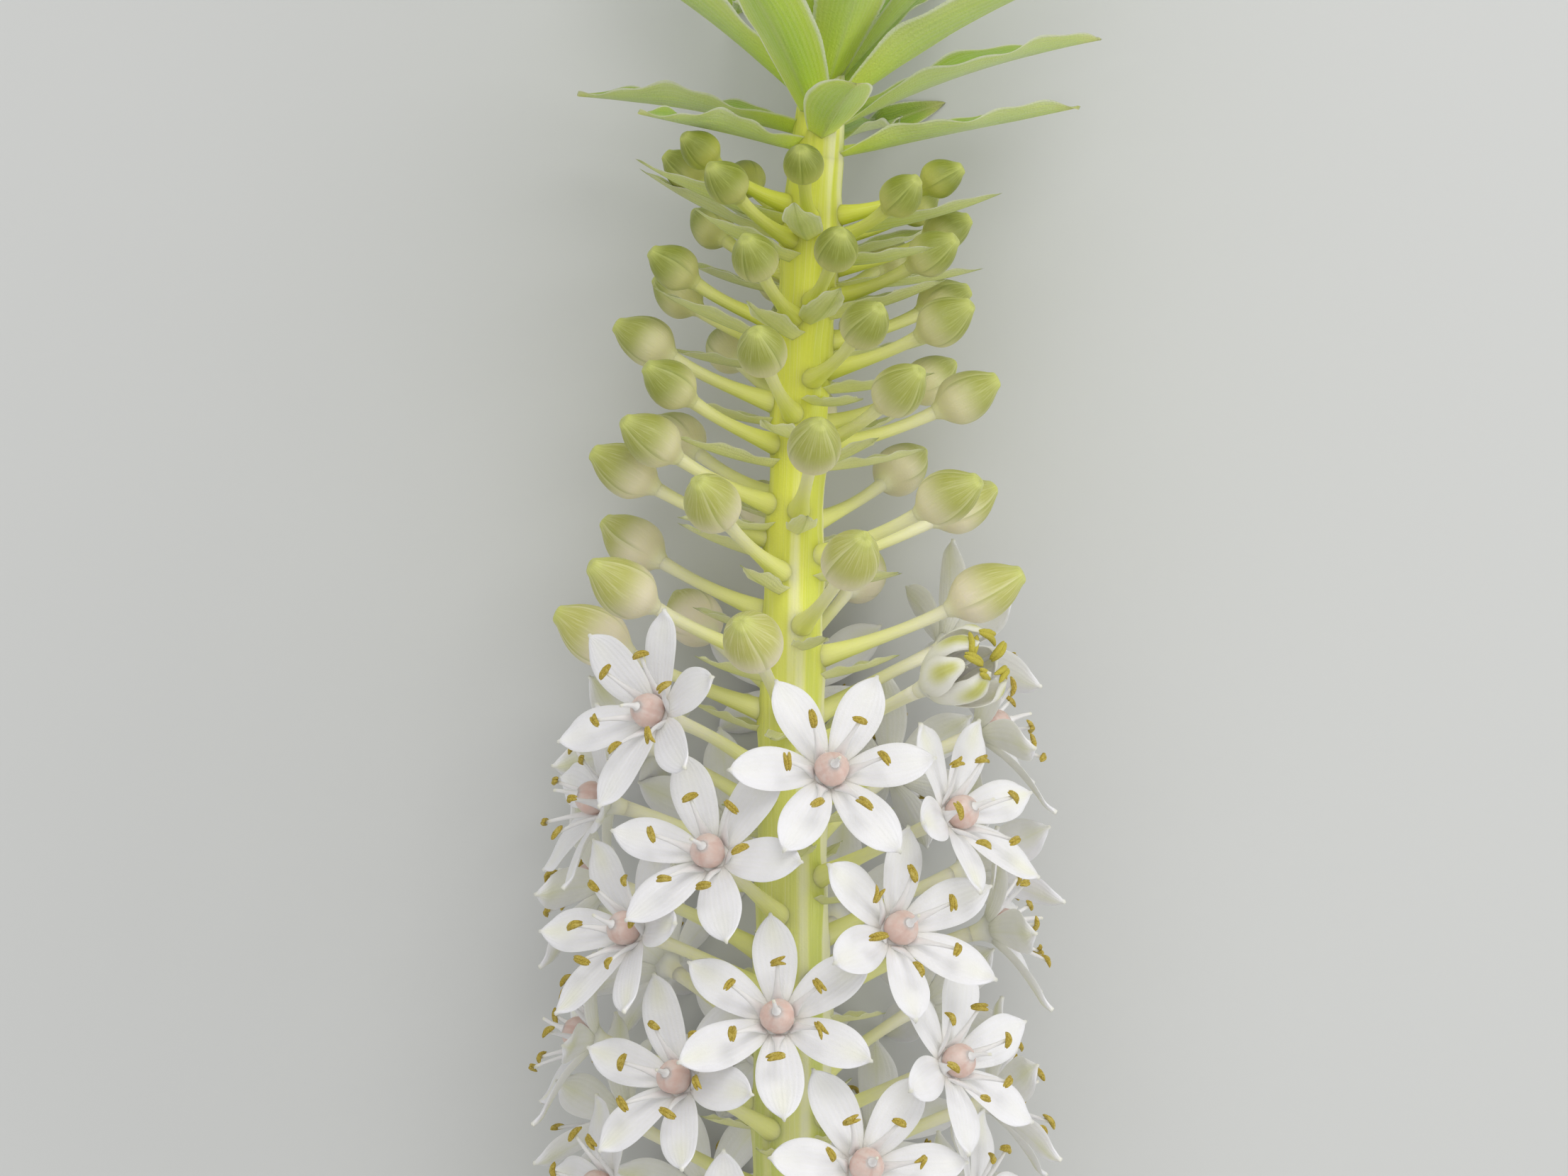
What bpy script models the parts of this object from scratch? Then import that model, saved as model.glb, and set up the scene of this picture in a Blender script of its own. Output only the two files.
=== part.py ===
"""Pineapple lily flower spike, cut and laid down on a flat surface.

The spike lies along +Y with its leafy crown at the +Y end, and +Z is up. Florets stand round
the stem on a golden-angle spiral: open six-petalled blooms below, one that is opening, then
buds that get smaller towards the crown. The petals and leaves underneath are pressed flat.
"""

import math
import random

import bmesh
import bpy
from mathutils import Matrix, Vector
from mathutils.bvhtree import BVHTree

# Sizes are in metres and angles in degrees.

# The surface and the stem
AXIS_HEIGHT = 0.028  # of the stem's middle line above the surface
PRESSED = 0.00028  # height of the middle of a blade that lies on the surface
STEM_SIDES = 10
STEM_CUT = -0.128  # along the spike, where 0 is the lowest floret's centre
STEM_RADII = (
    (STEM_CUT, 0.0056),
    (-0.110, 0.0056),
    (-0.094, 0.0055),
    (-0.077, 0.0054),
    (-0.060, 0.0053),
    (-0.043, 0.0052),
    (-0.026, 0.0050),
    (-0.012, 0.0049),
    (0.030, 0.0046),
    (0.070, 0.0037),
    (0.100, 0.0031),
    (0.1345, 0.0033),
)
DROP_START = -0.012  # the bare stalk bends down from here
DROP_END = -0.110  # and lies on the surface from here to its cut end
LEAN = 0.0042  # sideways, reached LEAN_LENGTH above LEAN_START
LEAN_START = 0.064
LEAN_LENGTH = 0.085

# The spiral of florets
FLORETS = 83
SPACING = 0.00218  # along the stem from one floret to the next
TIGHTER_FROM = 25  # from this floret up, each step is CLOSER less than the one below it
CLOSER = 0.0000270
FIRST_TURN = 38.0  # 0 faces +Z and 90 faces +X
GOLDEN_ANGLE = 137.5
DRIFT_FROM = 50  # the top of the spiral turns DRIFT less at each step
DRIFT = 0.45
LAST_OPEN = 33
AHEAD = (36,)  # a floret on the far side that opened before its neighbours
OPENING = 34
RISE_SPREAD = 0.0004  # what a floret may stand off its even place, along the stem
TURN_SPREAD = 2.5
# Florets that stand off the even spiral, as (rise, turn)
OFF_SPIRAL = {
    11: (0.0033, 2.5),
    18: (0.0040, 8.0),
    19: (0.0027, 6.0),
    21: (-0.0013, 0.0),
    24: (0.0010, 0.0),
    26: (0.0008, -11.0),
    35: (0.0032, 0.0),
    37: (-0.0006, -2.0),
    39: (0.0019, 6.0),
    42: (0.0, -6.0),
    44: (0.0040, 3.0),
    45: (0.0010, 2.0),
    52: (0.0046, 0.0),
    53: (-0.0040, -14.0),
    56: (0.0038, 6.0),
    60: (0.0024, -8.0),
    61: (-0.0080, 5.0),
    63: (-0.0026, 2.0),
    66: (0.0010, 8.0),
    68: (0.0014, 3.0),
    69: (-0.0030, 8.0),
    71: (-0.0024, 6.0),
    74: (0.0020, 6.0),
    77: (0.0018, 4.0),
    79: (0.0006, 6.0),
}
# Which way one petal of a bloom points, clockwise from the crown. The others are drawn
ROLLS = {
    8: -25.0,
    11: -14.0,
    13: 18.0,
    16: -2.0,
    19: -28.0,
    21: 8.0,
    24: -5.0,
    26: 24.0,
    29: 30.0,
    32: 10.0,
    34: 20.0,
}
ROLL_SPREAD = 30.0
SEED = 7

# A bloom
BLOOM_REACH = 0.0237  # from the stem's middle line to the base of the petals
REACH_SPREAD = 0.0008
BLOOM_LOWEST = 0.0062  # of that base above the surface
FACE_UP = 19.0  # how far a bloom faces towards the crown
FACE_SPREAD = 5.0
PETALS = 6
PETAL_START = 0.0017
PETAL_LENGTH = 0.0113
PETAL_HALF_WIDTH = 0.0027
PETAL_HALF_THICK = 0.0004
PETAL_WIDEST = 0.55  # as a share of its length
PETAL_NECK = 0.42  # its width where it starts, as a share of its widest
PETAL_TIP_POWER = 0.6  # lower is blunter
PETAL_SCALES = (0.94, 1.04)
PETAL_SPLAY = 4.0  # what its tip may stand off to one side
PETAL_STATIONS = (0.36, 0.76)
PETAL_CUP = 17.0  # the petals' mean angle off the bloom's face
CUP_SPREAD = 4.0
PETAL_CURL = 13.0  # more than that where a petal starts, and less at its tip
CURL_SPREAD = 3.0
PETAL_CHANNEL = 0.13  # rise of a petal's edge, as a share of its half width
OPENING_CUP = 76.0
OPENING_CURL = -36.0
OPENING_LENGTH = 0.85  # of a full petal's
OPENING_WIDTH = 0.66
OPENING_STAMEN = (0.0023, 0.0094)  # reach and height
OPENING_OVARY = 0.7
OVARY_RINGS = ((0.00195, 0.0014), (0.0010, 0.0030))  # radius and height
STYLE_HEIGHT = 0.0062
FUNNEL_RADIUS = 0.0008
FUNNEL_DEPTH = 0.0022
STAMEN = (0.0056, 0.0052)  # reach and height of its tip
STAMEN_ROOT = 0.3  # of the facet that it stands on
SEAT_GAP = 0.0003  # between a bloom and its stalk
# Tried on a petal until it is clear
BENDS = (0, 6, -6, 12, -12, 18, -18, 24, -24, 30, 36, -30, 44, 52)
TURNS = (0, 8, -8, 16, -16, 24, -24, 30)  # tried on a whole bloom
TURN_COST = 0.5  # of a degree's turn, where a degree's bend is 1
# A petal as it is tested for room, a little larger than itself: (side, distance off its middle)
ROOM_START = 0.08
ROOM_RIM = (
    (-1.06, 0),
    (0, PETAL_HALF_THICK * 1.3),
    (1.06, 0),
    (0, -PETAL_HALF_THICK * 1.3),
)

# A stalk and its bud
STALK_SIDES = 5
BLOOM_STALK_SIDES = 4
STALK_RADIUS = 0.00078
STALK_FOOT = 1.25  # its radius where it springs, over STALK_RADIUS
STALK_SEAT = 0.55  # of the stem's radius, where it is rooted
STALK_RISE = 24.0
STALK_BOW = 0.45  # of its length that heads the way its flower does
BUD_REACH = (0.0155, 0.0242)  # of its middle, from the top of the spiral to the lowest bud
BUD_REACH_POWER = 1.5
BUD_THICK = (0.0046, 0.0070)
BUD_SLIM = (1.22, 1.5)  # its length over its thickness
BUD_RISE = (34.0, 27.0)
LOWEST_BUD = 35
BUD_RINGS = ((-0.5, 0.26), (-0.23, 0.46), (0.24, 0.43))  # along its length, radius over thickness

# A bract under each stalk
BRACT_LENGTH = (0.008, 0.0225)  # from the lowest to the highest
BRACT_HALF_WIDTH = (0.0016, 0.0027)
BRACT_RISE = 13.0
BRACT_RISE_SPREAD = 9.0
BRACT_DROOP = -16.0
BRACT_BELOW = 0.0023
BRACT_SEAT = 0.6  # of the stem's radius, where it is rooted
BRACT_ROOT = 0.6  # its width where it springs, as a share of its widest
BRACT_POWER = 2  # it grows in length faster near the crown
FIRST_BRACT = 12  # the lowest ones have withered away
LONG_BRACTS = 44  # from this floret up they have a waist as well

# The crown of leaves
CROWN_LEAVES = 24
CROWN_START = 0.1348
CROWN_FIRST = 0.0009  # the lowest leaf's root above that
CROWN_TURN = -80.0
CROWN_STEP = 0.00062
CROWN_CORE = ((0.0, 0.0033), (0.009, 0.0028), (0.017, 0.0016))  # height over CROWN_START, and radius
CROWN_CORE_SIDES = 8
CROWN_SEAT = 0.0008  # of a leaf's root from the middle line
CROWN_LENGTH = (0.030, 0.047, 0.030)  # lowest, middle and highest leaf
CROWN_HALF_WIDTH = (0.0028, 0.0047, 0.0030)
CROWN_RISE = (11.0, 84.0)
CROWN_RISE_POWER = 1.3
CROWN_RISE_SPREAD = 3.0
CROWN_TURN_SPREAD = 4.0
CROWN_SCALES = (0.93, 1.05)
CROWN_DROOP = (4.0, 26.0, 6.0)
# Leaves of the crown that stand off its even spiral, as (rise, turn, share of their full length)
OFF_CROWN = {
    0: (4.0, 0.0, 1.0),
    1: (-8.0, -6.0, 0.76),
    3: (-9.0, -22.0, 0.85),
    4: (-12.0, 0.0, 0.78),
    9: (-6.0, 0.0, 1.0),
}
LEAF_ROOT = 0.32  # its width where it springs, as a share of its widest
LEAF_THICK = 0.0009
LEAF_THINNING = 0.35  # of that, towards its tip
LEAF_FOLD = 0.42  # rise of a leaf's edge over its midrib, as a share of its half width
LEAF_WAVE = 0.0006
WAVE_ANGLES = (1.0, 13.0)  # of that wave in radians, at the leaf's root and tip
LEAF_STATIONS = 5
LEAF_STEPS = 20  # of its midrib
LEAF_WIDEST = 0.45  # as a share of its length

# Finishes
COLOURS = {
    "stem": (0.55, 0.61, 0.10),
    "crown": (0.31, 0.43, 0.16),
    "bloom": (0.86, 0.85, 0.83),
}
ROUGHNESS = 0.55
SHARP_FROM = 50.0

# Small distances that only keep the arithmetic sound
CUT_NEAR = 1e-7
ON_SURFACE = PRESSED * 1.01
SLANTED = Vector((0.31, 0.17, 0.93))  # a direction that no stalk follows


def spread(draw, most):
    """A random number up to most either side of 0."""
    return draw.uniform(-most, most)


def between(ends, share):
    return ends[0] + (ends[1] - ends[0]) * share


def arched(levels, share):
    """The curve through a first, middle and last level."""
    first, middle, last = levels
    ends = first * (1 - share) * (1 - 2 * share) + last * share * (2 * share - 1)
    return ends + 4 * middle * share * (1 - share)


def stem_radius(along):
    """The stem's radius, between the stations of STEM_RADII."""
    for (low, below), (high, above) in zip(STEM_RADII, STEM_RADII[1:]):
        if along <= high:
            return between((below, above), (along - low) / (high - low))
    return STEM_RADII[-1][1]


def stem_frame(along):
    """(point, tangent, across) of the stem's middle line: leaning at the top, with its foot bent down."""
    over = max(0.0, along - LEAN_START) / LEAN_LENGTH
    bend = min(1.0, max(0.0, (DROP_START - along) / (DROP_START - DROP_END)))
    drop = AXIS_HEIGHT - stem_radius(STEM_CUT) * math.cos(math.pi / STEM_SIDES)
    height = AXIS_HEIGHT - drop * bend * bend * (3 - 2 * bend)
    rise = drop * 6 * bend * (1 - bend) / (DROP_START - DROP_END)
    tangent = Vector((2 * LEAN * over / LEAN_LENGTH, 1, rise)).normalized()
    across = Vector((tangent.y, -tangent.x, 0)).normalized()
    return Vector((LEAN * over**2, along, height)), tangent, across


def outward(along, turn):
    """(point on the middle line, tangent, radial direction) for a piece that faces turn degrees round."""
    point, tangent, across = stem_frame(along)
    a = math.radians(turn)
    return point, tangent, across * math.sin(a) + Vector((0, 0, 1)) * math.cos(a)


def lift(point):
    """Keeps the middle of a blade on or above the surface."""
    return Vector((point.x, point.y, max(point.z, PRESSED)))


class Floret:
    """Where one floret stands: the base of its petals, or the middle of its bud, and the way it faces."""

    def __init__(self, n):
        draw = random.Random(SEED * 1000 + n)
        rise, turn = OFF_SPIRAL.get(n, (spread(draw, RISE_SPREAD), spread(draw, TURN_SPREAD)))
        over = max(0, n - TIGHTER_FROM)
        self.n = n
        self.along = n * SPACING - CLOSER * over * over / 2 + rise
        self.turn = FIRST_TURN - GOLDEN_ANGLE * n + DRIFT * max(0, n - DRIFT_FROM) + turn
        self.up_spike = min(1.0, max(0.0, (FLORETS - 1 - n) / (FLORETS - 1 - LOWEST_BUD)))
        self.opening = n == OPENING
        self.open = n <= LAST_OPEN or n in AHEAD or self.opening
        self.name = "bloom_opening" if self.opening else f"bloom_{n + 1:02d}"
        on_axis, tangent, radial = outward(self.along, self.turn)
        if self.open:
            reach = BLOOM_REACH + spread(draw, REACH_SPREAD)
            face = math.radians(FACE_UP + spread(draw, FACE_SPREAD))
            room = AXIS_HEIGHT - BLOOM_LOWEST
            if radial.z < 0 and reach * -radial.z > room:
                reach = room / -radial.z
        else:
            reach = between(BUD_REACH, self.up_spike**BUD_REACH_POWER)
            face = math.radians(between(BUD_RISE, self.up_spike))
        self.centre = on_axis + radial * reach
        self.out = radial * math.cos(face) + tangent * math.sin(face)
        self.up = tangent * math.cos(face) - radial * math.sin(face)
        self.right = self.up.cross(self.out)
        self.root_along = self.along - (reach - stem_radius(self.along)) * math.tan(math.radians(STALK_RISE))
        self.radial = radial
        self.roll = ROLLS.get(n, spread(draw, ROLL_SPREAD))
        self.cup = OPENING_CUP if self.opening else PETAL_CUP + spread(draw, CUP_SPREAD)
        self.curl = OPENING_CURL if self.opening else PETAL_CURL + spread(draw, CURL_SPREAD)
        self.stamen = OPENING_STAMEN if self.opening else STAMEN
        self.ovary = OPENING_OVARY if self.opening else 1.0
        self.bends = [0.0] * PETALS
        self.splay = [spread(draw, PETAL_SPLAY) for _ in range(PETALS)]
        grown = OPENING_LENGTH if self.opening else 1.0
        self.scale = [grown * draw.uniform(*PETAL_SCALES) for _ in range(PETALS)]
        self.width = PETAL_HALF_WIDTH * (OPENING_WIDTH if self.opening else 1.0)

    def place(self, angle, reach, height, sideways=0.0):
        """A point from its angle round the bloom, its reach from the middle and its height off the face."""
        a = math.radians(angle)
        along = self.up * math.cos(a) + self.right * math.sin(a)
        across = self.right * math.cos(a) - self.up * math.sin(a)
        return self.centre + along * reach + across * sideways + self.out * height


def petal_shape(t):
    """Half width of a petal at share t of its length, as a share of its widest."""
    if t < PETAL_WIDEST:
        return PETAL_NECK + (1 - PETAL_NECK) * math.sin(math.pi / 2 * t / PETAL_WIDEST)
    return max(0.0, 1 - ((t - PETAL_WIDEST) / (1 - PETAL_WIDEST)) ** 2) ** PETAL_TIP_POWER


def petal_spine(floret, j, t):
    """(reach, height, slope) of petal j's middle line at share t of its length."""
    curl = math.radians(floret.curl)
    start = math.radians(floret.cup + floret.bends[j]) + curl
    slope = start - 2 * curl * t
    length = PETAL_LENGTH * floret.scale[j]
    reach = length * (math.sin(start) - math.sin(slope)) / (2 * curl)
    height = length * (math.cos(slope) - math.cos(start)) / (2 * curl)
    return PETAL_START + reach, height, slope


def petal_point(floret, j, t, side, thick):
    """A point of petal j: side runs from -1 to 1 across it, and thick is its distance off the middle."""
    angle = floret.roll + 60 * j + floret.splay[j] * t
    reach, height, slope = petal_spine(floret, j, t)
    half_width = floret.width * floret.scale[j] * petal_shape(t)
    channel = PETAL_CHANNEL * half_width * side * side
    reach -= channel * math.sin(slope)
    height += channel * math.cos(slope)
    free = floret.place(angle, reach, height, side * half_width)
    point = lift(free)
    normal = floret.place(angle, -math.sin(slope), math.cos(slope)) - floret.centre
    if point.z > free.z:
        normal = Vector((0, 0, math.copysign(1, normal.z)))
    return point + normal * thick


def bloom_skin(floret):
    """One open flower as a closed skin: six lens-shaped petals, the ovary with its style, and the stamens."""
    bm = bmesh.new()
    add = bm.verts.new
    valleys = []
    for sign in (1, -1):
        ring = []
        for j in range(PETALS):
            ring.append(add(floret.place(floret.roll + 60 * j - 30, PETAL_START, sign * PETAL_HALF_THICK)))
        valleys.append(ring)
    for j in range(PETALS):
        k = (j + 1) % PETALS
        left, right = [], []
        for t in PETAL_STATIONS:
            left.append(add(petal_point(floret, j, t, -1, 0)))
            right.append(add(petal_point(floret, j, t, 1, 0)))
        tip = add(petal_point(floret, j, 1.0, 0, 0))
        for ring, sign in zip(valleys, (1, -1)):
            thick = sign * PETAL_HALF_THICK
            middle = [add(petal_point(floret, j, t, 0, thick)) for t in PETAL_STATIONS]
            faces = [
                (ring[j], left[0], middle[0]),
                (ring[k], middle[0], right[0]),
                (left[0], left[1], middle[1]),
                (left[0], middle[1], middle[0]),
                (middle[0], middle[1], right[1]),
                (middle[0], right[1], right[0]),
                (left[1], tip, middle[1]),
                (middle[1], tip, right[1]),
            ]
            root = (ring[j], middle[0], ring[k])
            if sign > 0:
                faces += stamen_faces(floret, j, add, root)
            else:
                faces.append(root)
            for face in faces:
                bm.faces.new(face if sign < 0 else face[::-1])
        bm.faces.new((valleys[0][j], left[0], valleys[1][j]))
        bm.faces.new((valleys[0][k], valleys[1][k], right[0]))
    (radius, height), (top_radius, top_height) = OVARY_RINGS
    size = floret.ovary
    waist = [add(floret.place(floret.roll + 60 * j - 30, radius * size, height)) for j in range(PETALS)]
    loft(bm, valleys[0], waist)
    lobes = halve(bm, waist, floret, top_radius * size, top_height)
    style = add(lift(floret.place(0, 0, STYLE_HEIGHT)))
    for a in range(3):
        bm.faces.new((lobes[a], lobes[a - 2], style))
    bm.faces.new(halve(bm, valleys[1], floret, FUNNEL_RADIUS, -FUNNEL_DEPTH))
    bmesh.ops.recalc_face_normals(bm, faces=bm.faces)
    return bm


def halve(bm, ring, floret, radius, height):
    """Closes a ring of six points in to three, and gives the three."""
    three = [bm.verts.new(floret.place(floret.roll + 120 * a, radius, height)) for a in range(3)]
    for a in range(3):
        first, middle, last = ring[2 * a], ring[2 * a + 1], ring[2 * a - 4]
        bm.faces.new((first, middle, three[a]))
        bm.faces.new((middle, last, three[a - 2]))
        bm.faces.new((middle, three[a - 2], three[a]))
    return three


def stamen_faces(floret, j, add, root):
    """The facet at a petal's root, inset and drawn out to the tip of the stamen that stands on it."""
    middle = sum((v.co for v in root), Vector()) / 3
    foot = [add(middle + (v.co - middle) * STAMEN_ROOT) for v in root]
    tip = add(lift(floret.place(floret.roll + 60 * j, *floret.stamen)))
    faces = []
    for a in range(3):
        b = (a + 1) % 3
        faces += [(root[a], root[b], foot[b]), (root[a], foot[b], foot[a]), (foot[a], foot[b], tip)]
    return faces


def loft(bm, below, above, mirrored=False):
    """Pairs of triangles between two rings of as many points. Mirrored splits the last half the other way."""
    sides = len(below)
    for a in range(sides):
        b = (a + 1) % sides
        if mirrored and a >= sides // 2:
            bm.faces.new((below[a], below[b], above[a]))
            bm.faces.new((below[b], above[b], above[a]))
        else:
            bm.faces.new((below[a], below[b], above[b]))
            bm.faces.new((below[a], above[b], above[a]))


def lofted(rings, tip=None, mirrored=False):
    """A closed skin over rings of points, capped at its foot, and ended by a tip or a second cap."""
    bm = bmesh.new()
    made = [[bm.verts.new(p) for p in ring] for ring in rings]
    for below, above in zip(made, made[1:]):
        loft(bm, below, above, mirrored)
    bm.faces.new(made[0][::-1])
    if tip is None:
        bm.faces.new(made[-1])
    else:
        end = bm.verts.new(tip)
        for a in range(len(made[-1])):
            bm.faces.new((made[-1][a], made[-1][(a + 1) % len(made[-1])], end))
    bmesh.ops.recalc_face_normals(bm, faces=bm.faces)
    return bm


def ring_round(centre, direction, radius, sides):
    """Points in a circle round a direction."""
    first = direction.cross(SLANTED).normalized()
    second = direction.cross(first).normalized()
    points = []
    for i in range(sides):
        a = 2 * math.pi * i / sides
        points.append(centre + (first * math.cos(a) + second * math.sin(a)) * radius)
    return points


def stem_core():
    """The bare stalk and the stem between the florets, cut flat at both ends."""
    rings = []
    for along, radius in STEM_RADII:
        point, tangent, across = stem_frame(along)
        above = across.cross(tangent)
        ring = []
        for i in range(STEM_SIDES):
            a = 2 * math.pi * (i + 0.5) / STEM_SIDES - math.pi / 2
            ring.append(point + (across * math.cos(a) + above * math.sin(a)) * radius)
        rings.append(ring)
    return lofted(rings)


def stalk(floret):
    """A floret's stalk, rooted in the stem. It ends in a bud, or just short of an open bloom."""
    root, _, radial = outward(floret.root_along, floret.turn)
    start = root + radial * stem_radius(floret.root_along) * STALK_SEAT
    sides = BLOOM_STALK_SIDES if floret.open else STALK_SIDES
    thick = between(BUD_THICK, floret.up_spike)
    length = thick * between(BUD_SLIM, floret.up_spike)
    behind = FUNNEL_DEPTH + SEAT_GAP if floret.open else length / 2
    end = floret.centre - floret.out * behind
    bend = end - floret.out * (end - start).length * STALK_BOW
    middle = (start + bend * 2 + end) / 4
    rings = [ring_round(start, (middle - start).normalized(), STALK_RADIUS * STALK_FOOT, sides)]
    if floret.open:
        rings.append(ring_round(end, floret.out, STALK_RADIUS, sides))
        return lofted(rings)
    rings.append(ring_round(middle, (end - start).normalized(), STALK_RADIUS, sides))
    for share, radius in BUD_RINGS:
        at = floret.centre + floret.out * share * length
        size = STALK_RADIUS if share == BUD_RINGS[0][0] else radius * thick
        rings.append(ring_round(at, floret.out, size, sides))
    return lofted(rings, floret.centre + floret.out * length / 2)


def leaf_spine(root, tangent, radial, length, rise, droop):
    """Points along a leaf's midrib. Where the midrib would go under the surface, it bends to lie along it."""
    points = [Vector(root)]
    step = length / LEAF_STEPS
    for i in range(LEAF_STEPS):
        slope = math.radians(rise + droop * (0.5 - (i + 0.5) / LEAF_STEPS))
        move = (radial * math.cos(slope) + tangent * math.sin(slope)) * step
        room = points[-1].z - PRESSED
        if -move.z > room:
            along = Vector((move.x, move.y, 0)).normalized() * math.sqrt(step**2 - room**2)
            move = along - Vector((0, 0, room))
        points.append(points[-1] + move)
    return points


def leaf_width(share, neck):
    """A leaf's width at a share of its length, as a share of its widest. It is neck where it springs."""
    if share < LEAF_WIDEST:
        return neck + (1 - neck) * math.sin(math.pi / 2 * share / LEAF_WIDEST)
    return math.sqrt(max(0.0, 1 - ((share - LEAF_WIDEST) / (1 - LEAF_WIDEST)) ** 2))


def blade(spine, across, half_width, neck, wave, stations):
    """A folded, pointed leaf along a spine, with a ring of four points at each station."""
    rings = []
    for i in range(stations):
        at = round(i * LEAF_STEPS / stations)
        share = at / LEAF_STEPS
        middle = spine[at]
        forward = (spine[at + 1] - spine[max(at - 1, 0)]).normalized()
        side = Vector((0, 0, 1)).cross(forward) if middle.z < ON_SURFACE else across
        normal = forward.cross(side).normalized()
        side = normal.cross(forward) * half_width * leaf_width(share, neck)
        fold = LEAF_FOLD * side.length
        ripple = wave * math.sin(between(WAVE_ANGLES, share))
        thick = LEAF_THICK * (1 - LEAF_THINNING * share) / 2
        rings.append([
            lift(middle + side + normal * (fold + ripple)),
            middle + normal * thick,
            lift(middle - side + normal * (fold - ripple)),
            middle - normal * thick,
        ])
    return lofted(rings, spine[-1], mirrored=True)


def bract(floret):
    """The small leaf under a floret's stalk, longer towards the crown."""
    draw = random.Random(SEED * 3000 + floret.n)
    share = (floret.n / (FLORETS - 1)) ** BRACT_POWER
    rise = BRACT_RISE + spread(draw, BRACT_RISE_SPREAD)
    along = floret.root_along - BRACT_BELOW
    root, tangent, radial = outward(along, floret.turn)
    start = root + radial * stem_radius(along) * BRACT_SEAT
    length = between(BRACT_LENGTH, share)
    spine = leaf_spine(start, tangent, radial, length, rise, BRACT_DROOP)
    width = between(BRACT_HALF_WIDTH, share)
    stations = 3 if floret.n >= LONG_BRACTS else 2
    return blade(spine, tangent.cross(radial), width, BRACT_ROOT, 0.0, stations)


def crown_leaf(m):
    """One of the leaves of the crown: spreading below, upright in the middle."""
    draw = random.Random(SEED * 1000 + 500 + m)
    share = m / (CROWN_LEAVES - 1)
    along = CROWN_START + CROWN_FIRST + CROWN_STEP * m
    n = FLORETS + m
    drawn = (spread(draw, CROWN_RISE_SPREAD), spread(draw, CROWN_TURN_SPREAD), 1.0)
    raised, turned, shortened = OFF_CROWN.get(m, drawn)
    turn = CROWN_TURN + FIRST_TURN - GOLDEN_ANGLE * n + DRIFT * (n - DRIFT_FROM) + turned
    root, tangent, radial = outward(along, turn)
    rise = between(CROWN_RISE, share**CROWN_RISE_POWER) + raised
    length = arched(CROWN_LENGTH, share) * draw.uniform(*CROWN_SCALES) * shortened
    width = arched(CROWN_HALF_WIDTH, share)
    droop = arched(CROWN_DROOP, share)
    spine = leaf_spine(root + radial * CROWN_SEAT, tangent, radial, length, rise, droop)
    return blade(spine, tangent.cross(radial), width, LEAF_ROOT, LEAF_WAVE, LEAF_STATIONS)


def crown_core():
    """The growing tip that the crown's leaves spring from."""
    rings = []
    for above, radius in CROWN_CORE:
        point, tangent, _ = stem_frame(CROWN_START + above)
        rings.append(ring_round(point, tangent, radius, CROWN_CORE_SIDES))
    return lofted(rings)


def petal_is_clear(floret, j, standing):
    """Whether petal j clears what stands round it."""
    rings = []
    for t in (ROOM_START, *PETAL_STATIONS):
        rings.append([petal_point(floret, j, t, side, thick) for side, thick in ROOM_RIM])
    alone = lofted(rings, petal_point(floret, j, 1.0, 0, 0))
    tree = BVHTree.FromBMesh(alone)
    alone.free()
    return not any(tree.overlap(other) for other in standing)


def crosses_itself(bm):
    """Whether two faces of a skin that have no corner in common meet."""
    tree = BVHTree.FromBMesh(bm)
    corners = [{v.index for v in face.verts} for face in bm.faces]
    return any(not corners[a] & corners[b] for a, b in tree.overlap(tree))


def settle(floret, standing):
    """Turns a bloom and bends its petals, as little as will do, until they clear what stands round them."""
    roll = floret.roll
    tried = []
    for turn in TURNS:
        floret.roll = roll + turn
        crossed = 0
        for j in range(PETALS):
            for bend in BENDS:
                floret.bends[j] = bend
                if petal_is_clear(floret, j, standing):
                    break
            else:
                crossed += 1
                floret.bends[j] = 0
        skin = bloom_skin(floret)
        crossed += crosses_itself(skin)
        skin.free()
        least = abs(turn) * TURN_COST
        cost = sum(map(abs, floret.bends)) + least
        tried.append((crossed, cost, floret.roll, list(floret.bends)))
        if min(tried)[:2] <= (0, least):
            break
    _, _, floret.roll, floret.bends = min(tried)


def material(name, colour):
    made = bpy.data.materials.new(name)
    made.use_nodes = True
    shader = made.node_tree.nodes["Principled BSDF"]
    shader.inputs["Base Color"].default_value = (*colour, 1.0)
    shader.inputs["Roughness"].default_value = ROUGHNESS
    shader.inputs["Metallic"].default_value = 0.0
    return made


def object_of(name, bm, collection):
    """A named object from a bmesh, in a collection."""
    mesh = bpy.data.meshes.new(name)
    bm.to_mesh(mesh)
    bm.free()
    made = bpy.data.objects.new(name, mesh)
    collection.objects.link(made)
    return made


def fuse(name, core, bodies, collection):
    """Joins a core and the bodies rooted in it by one Boolean union, and applies it."""
    joined = bpy.data.collections.new(name + "_joined")
    bpy.context.scene.collection.children.link(joined)
    made = object_of(name, core, collection)
    for i, bm in enumerate(bodies):
        object_of(f"{name}_piece_{i}", bm, joined)
    union = made.modifiers.new("union", "BOOLEAN")
    union.operation = "UNION"
    union.operand_type = "COLLECTION"
    union.collection = joined
    graph = bpy.context.evaluated_depsgraph_get()
    whole = bpy.data.meshes.new_from_object(made.evaluated_get(graph))
    made.modifiers.clear()
    made.data = whole
    for piece in list(joined.objects):
        bpy.data.objects.remove(piece)
    bpy.data.collections.remove(joined)
    fill_hollows(whole)
    return made


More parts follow.
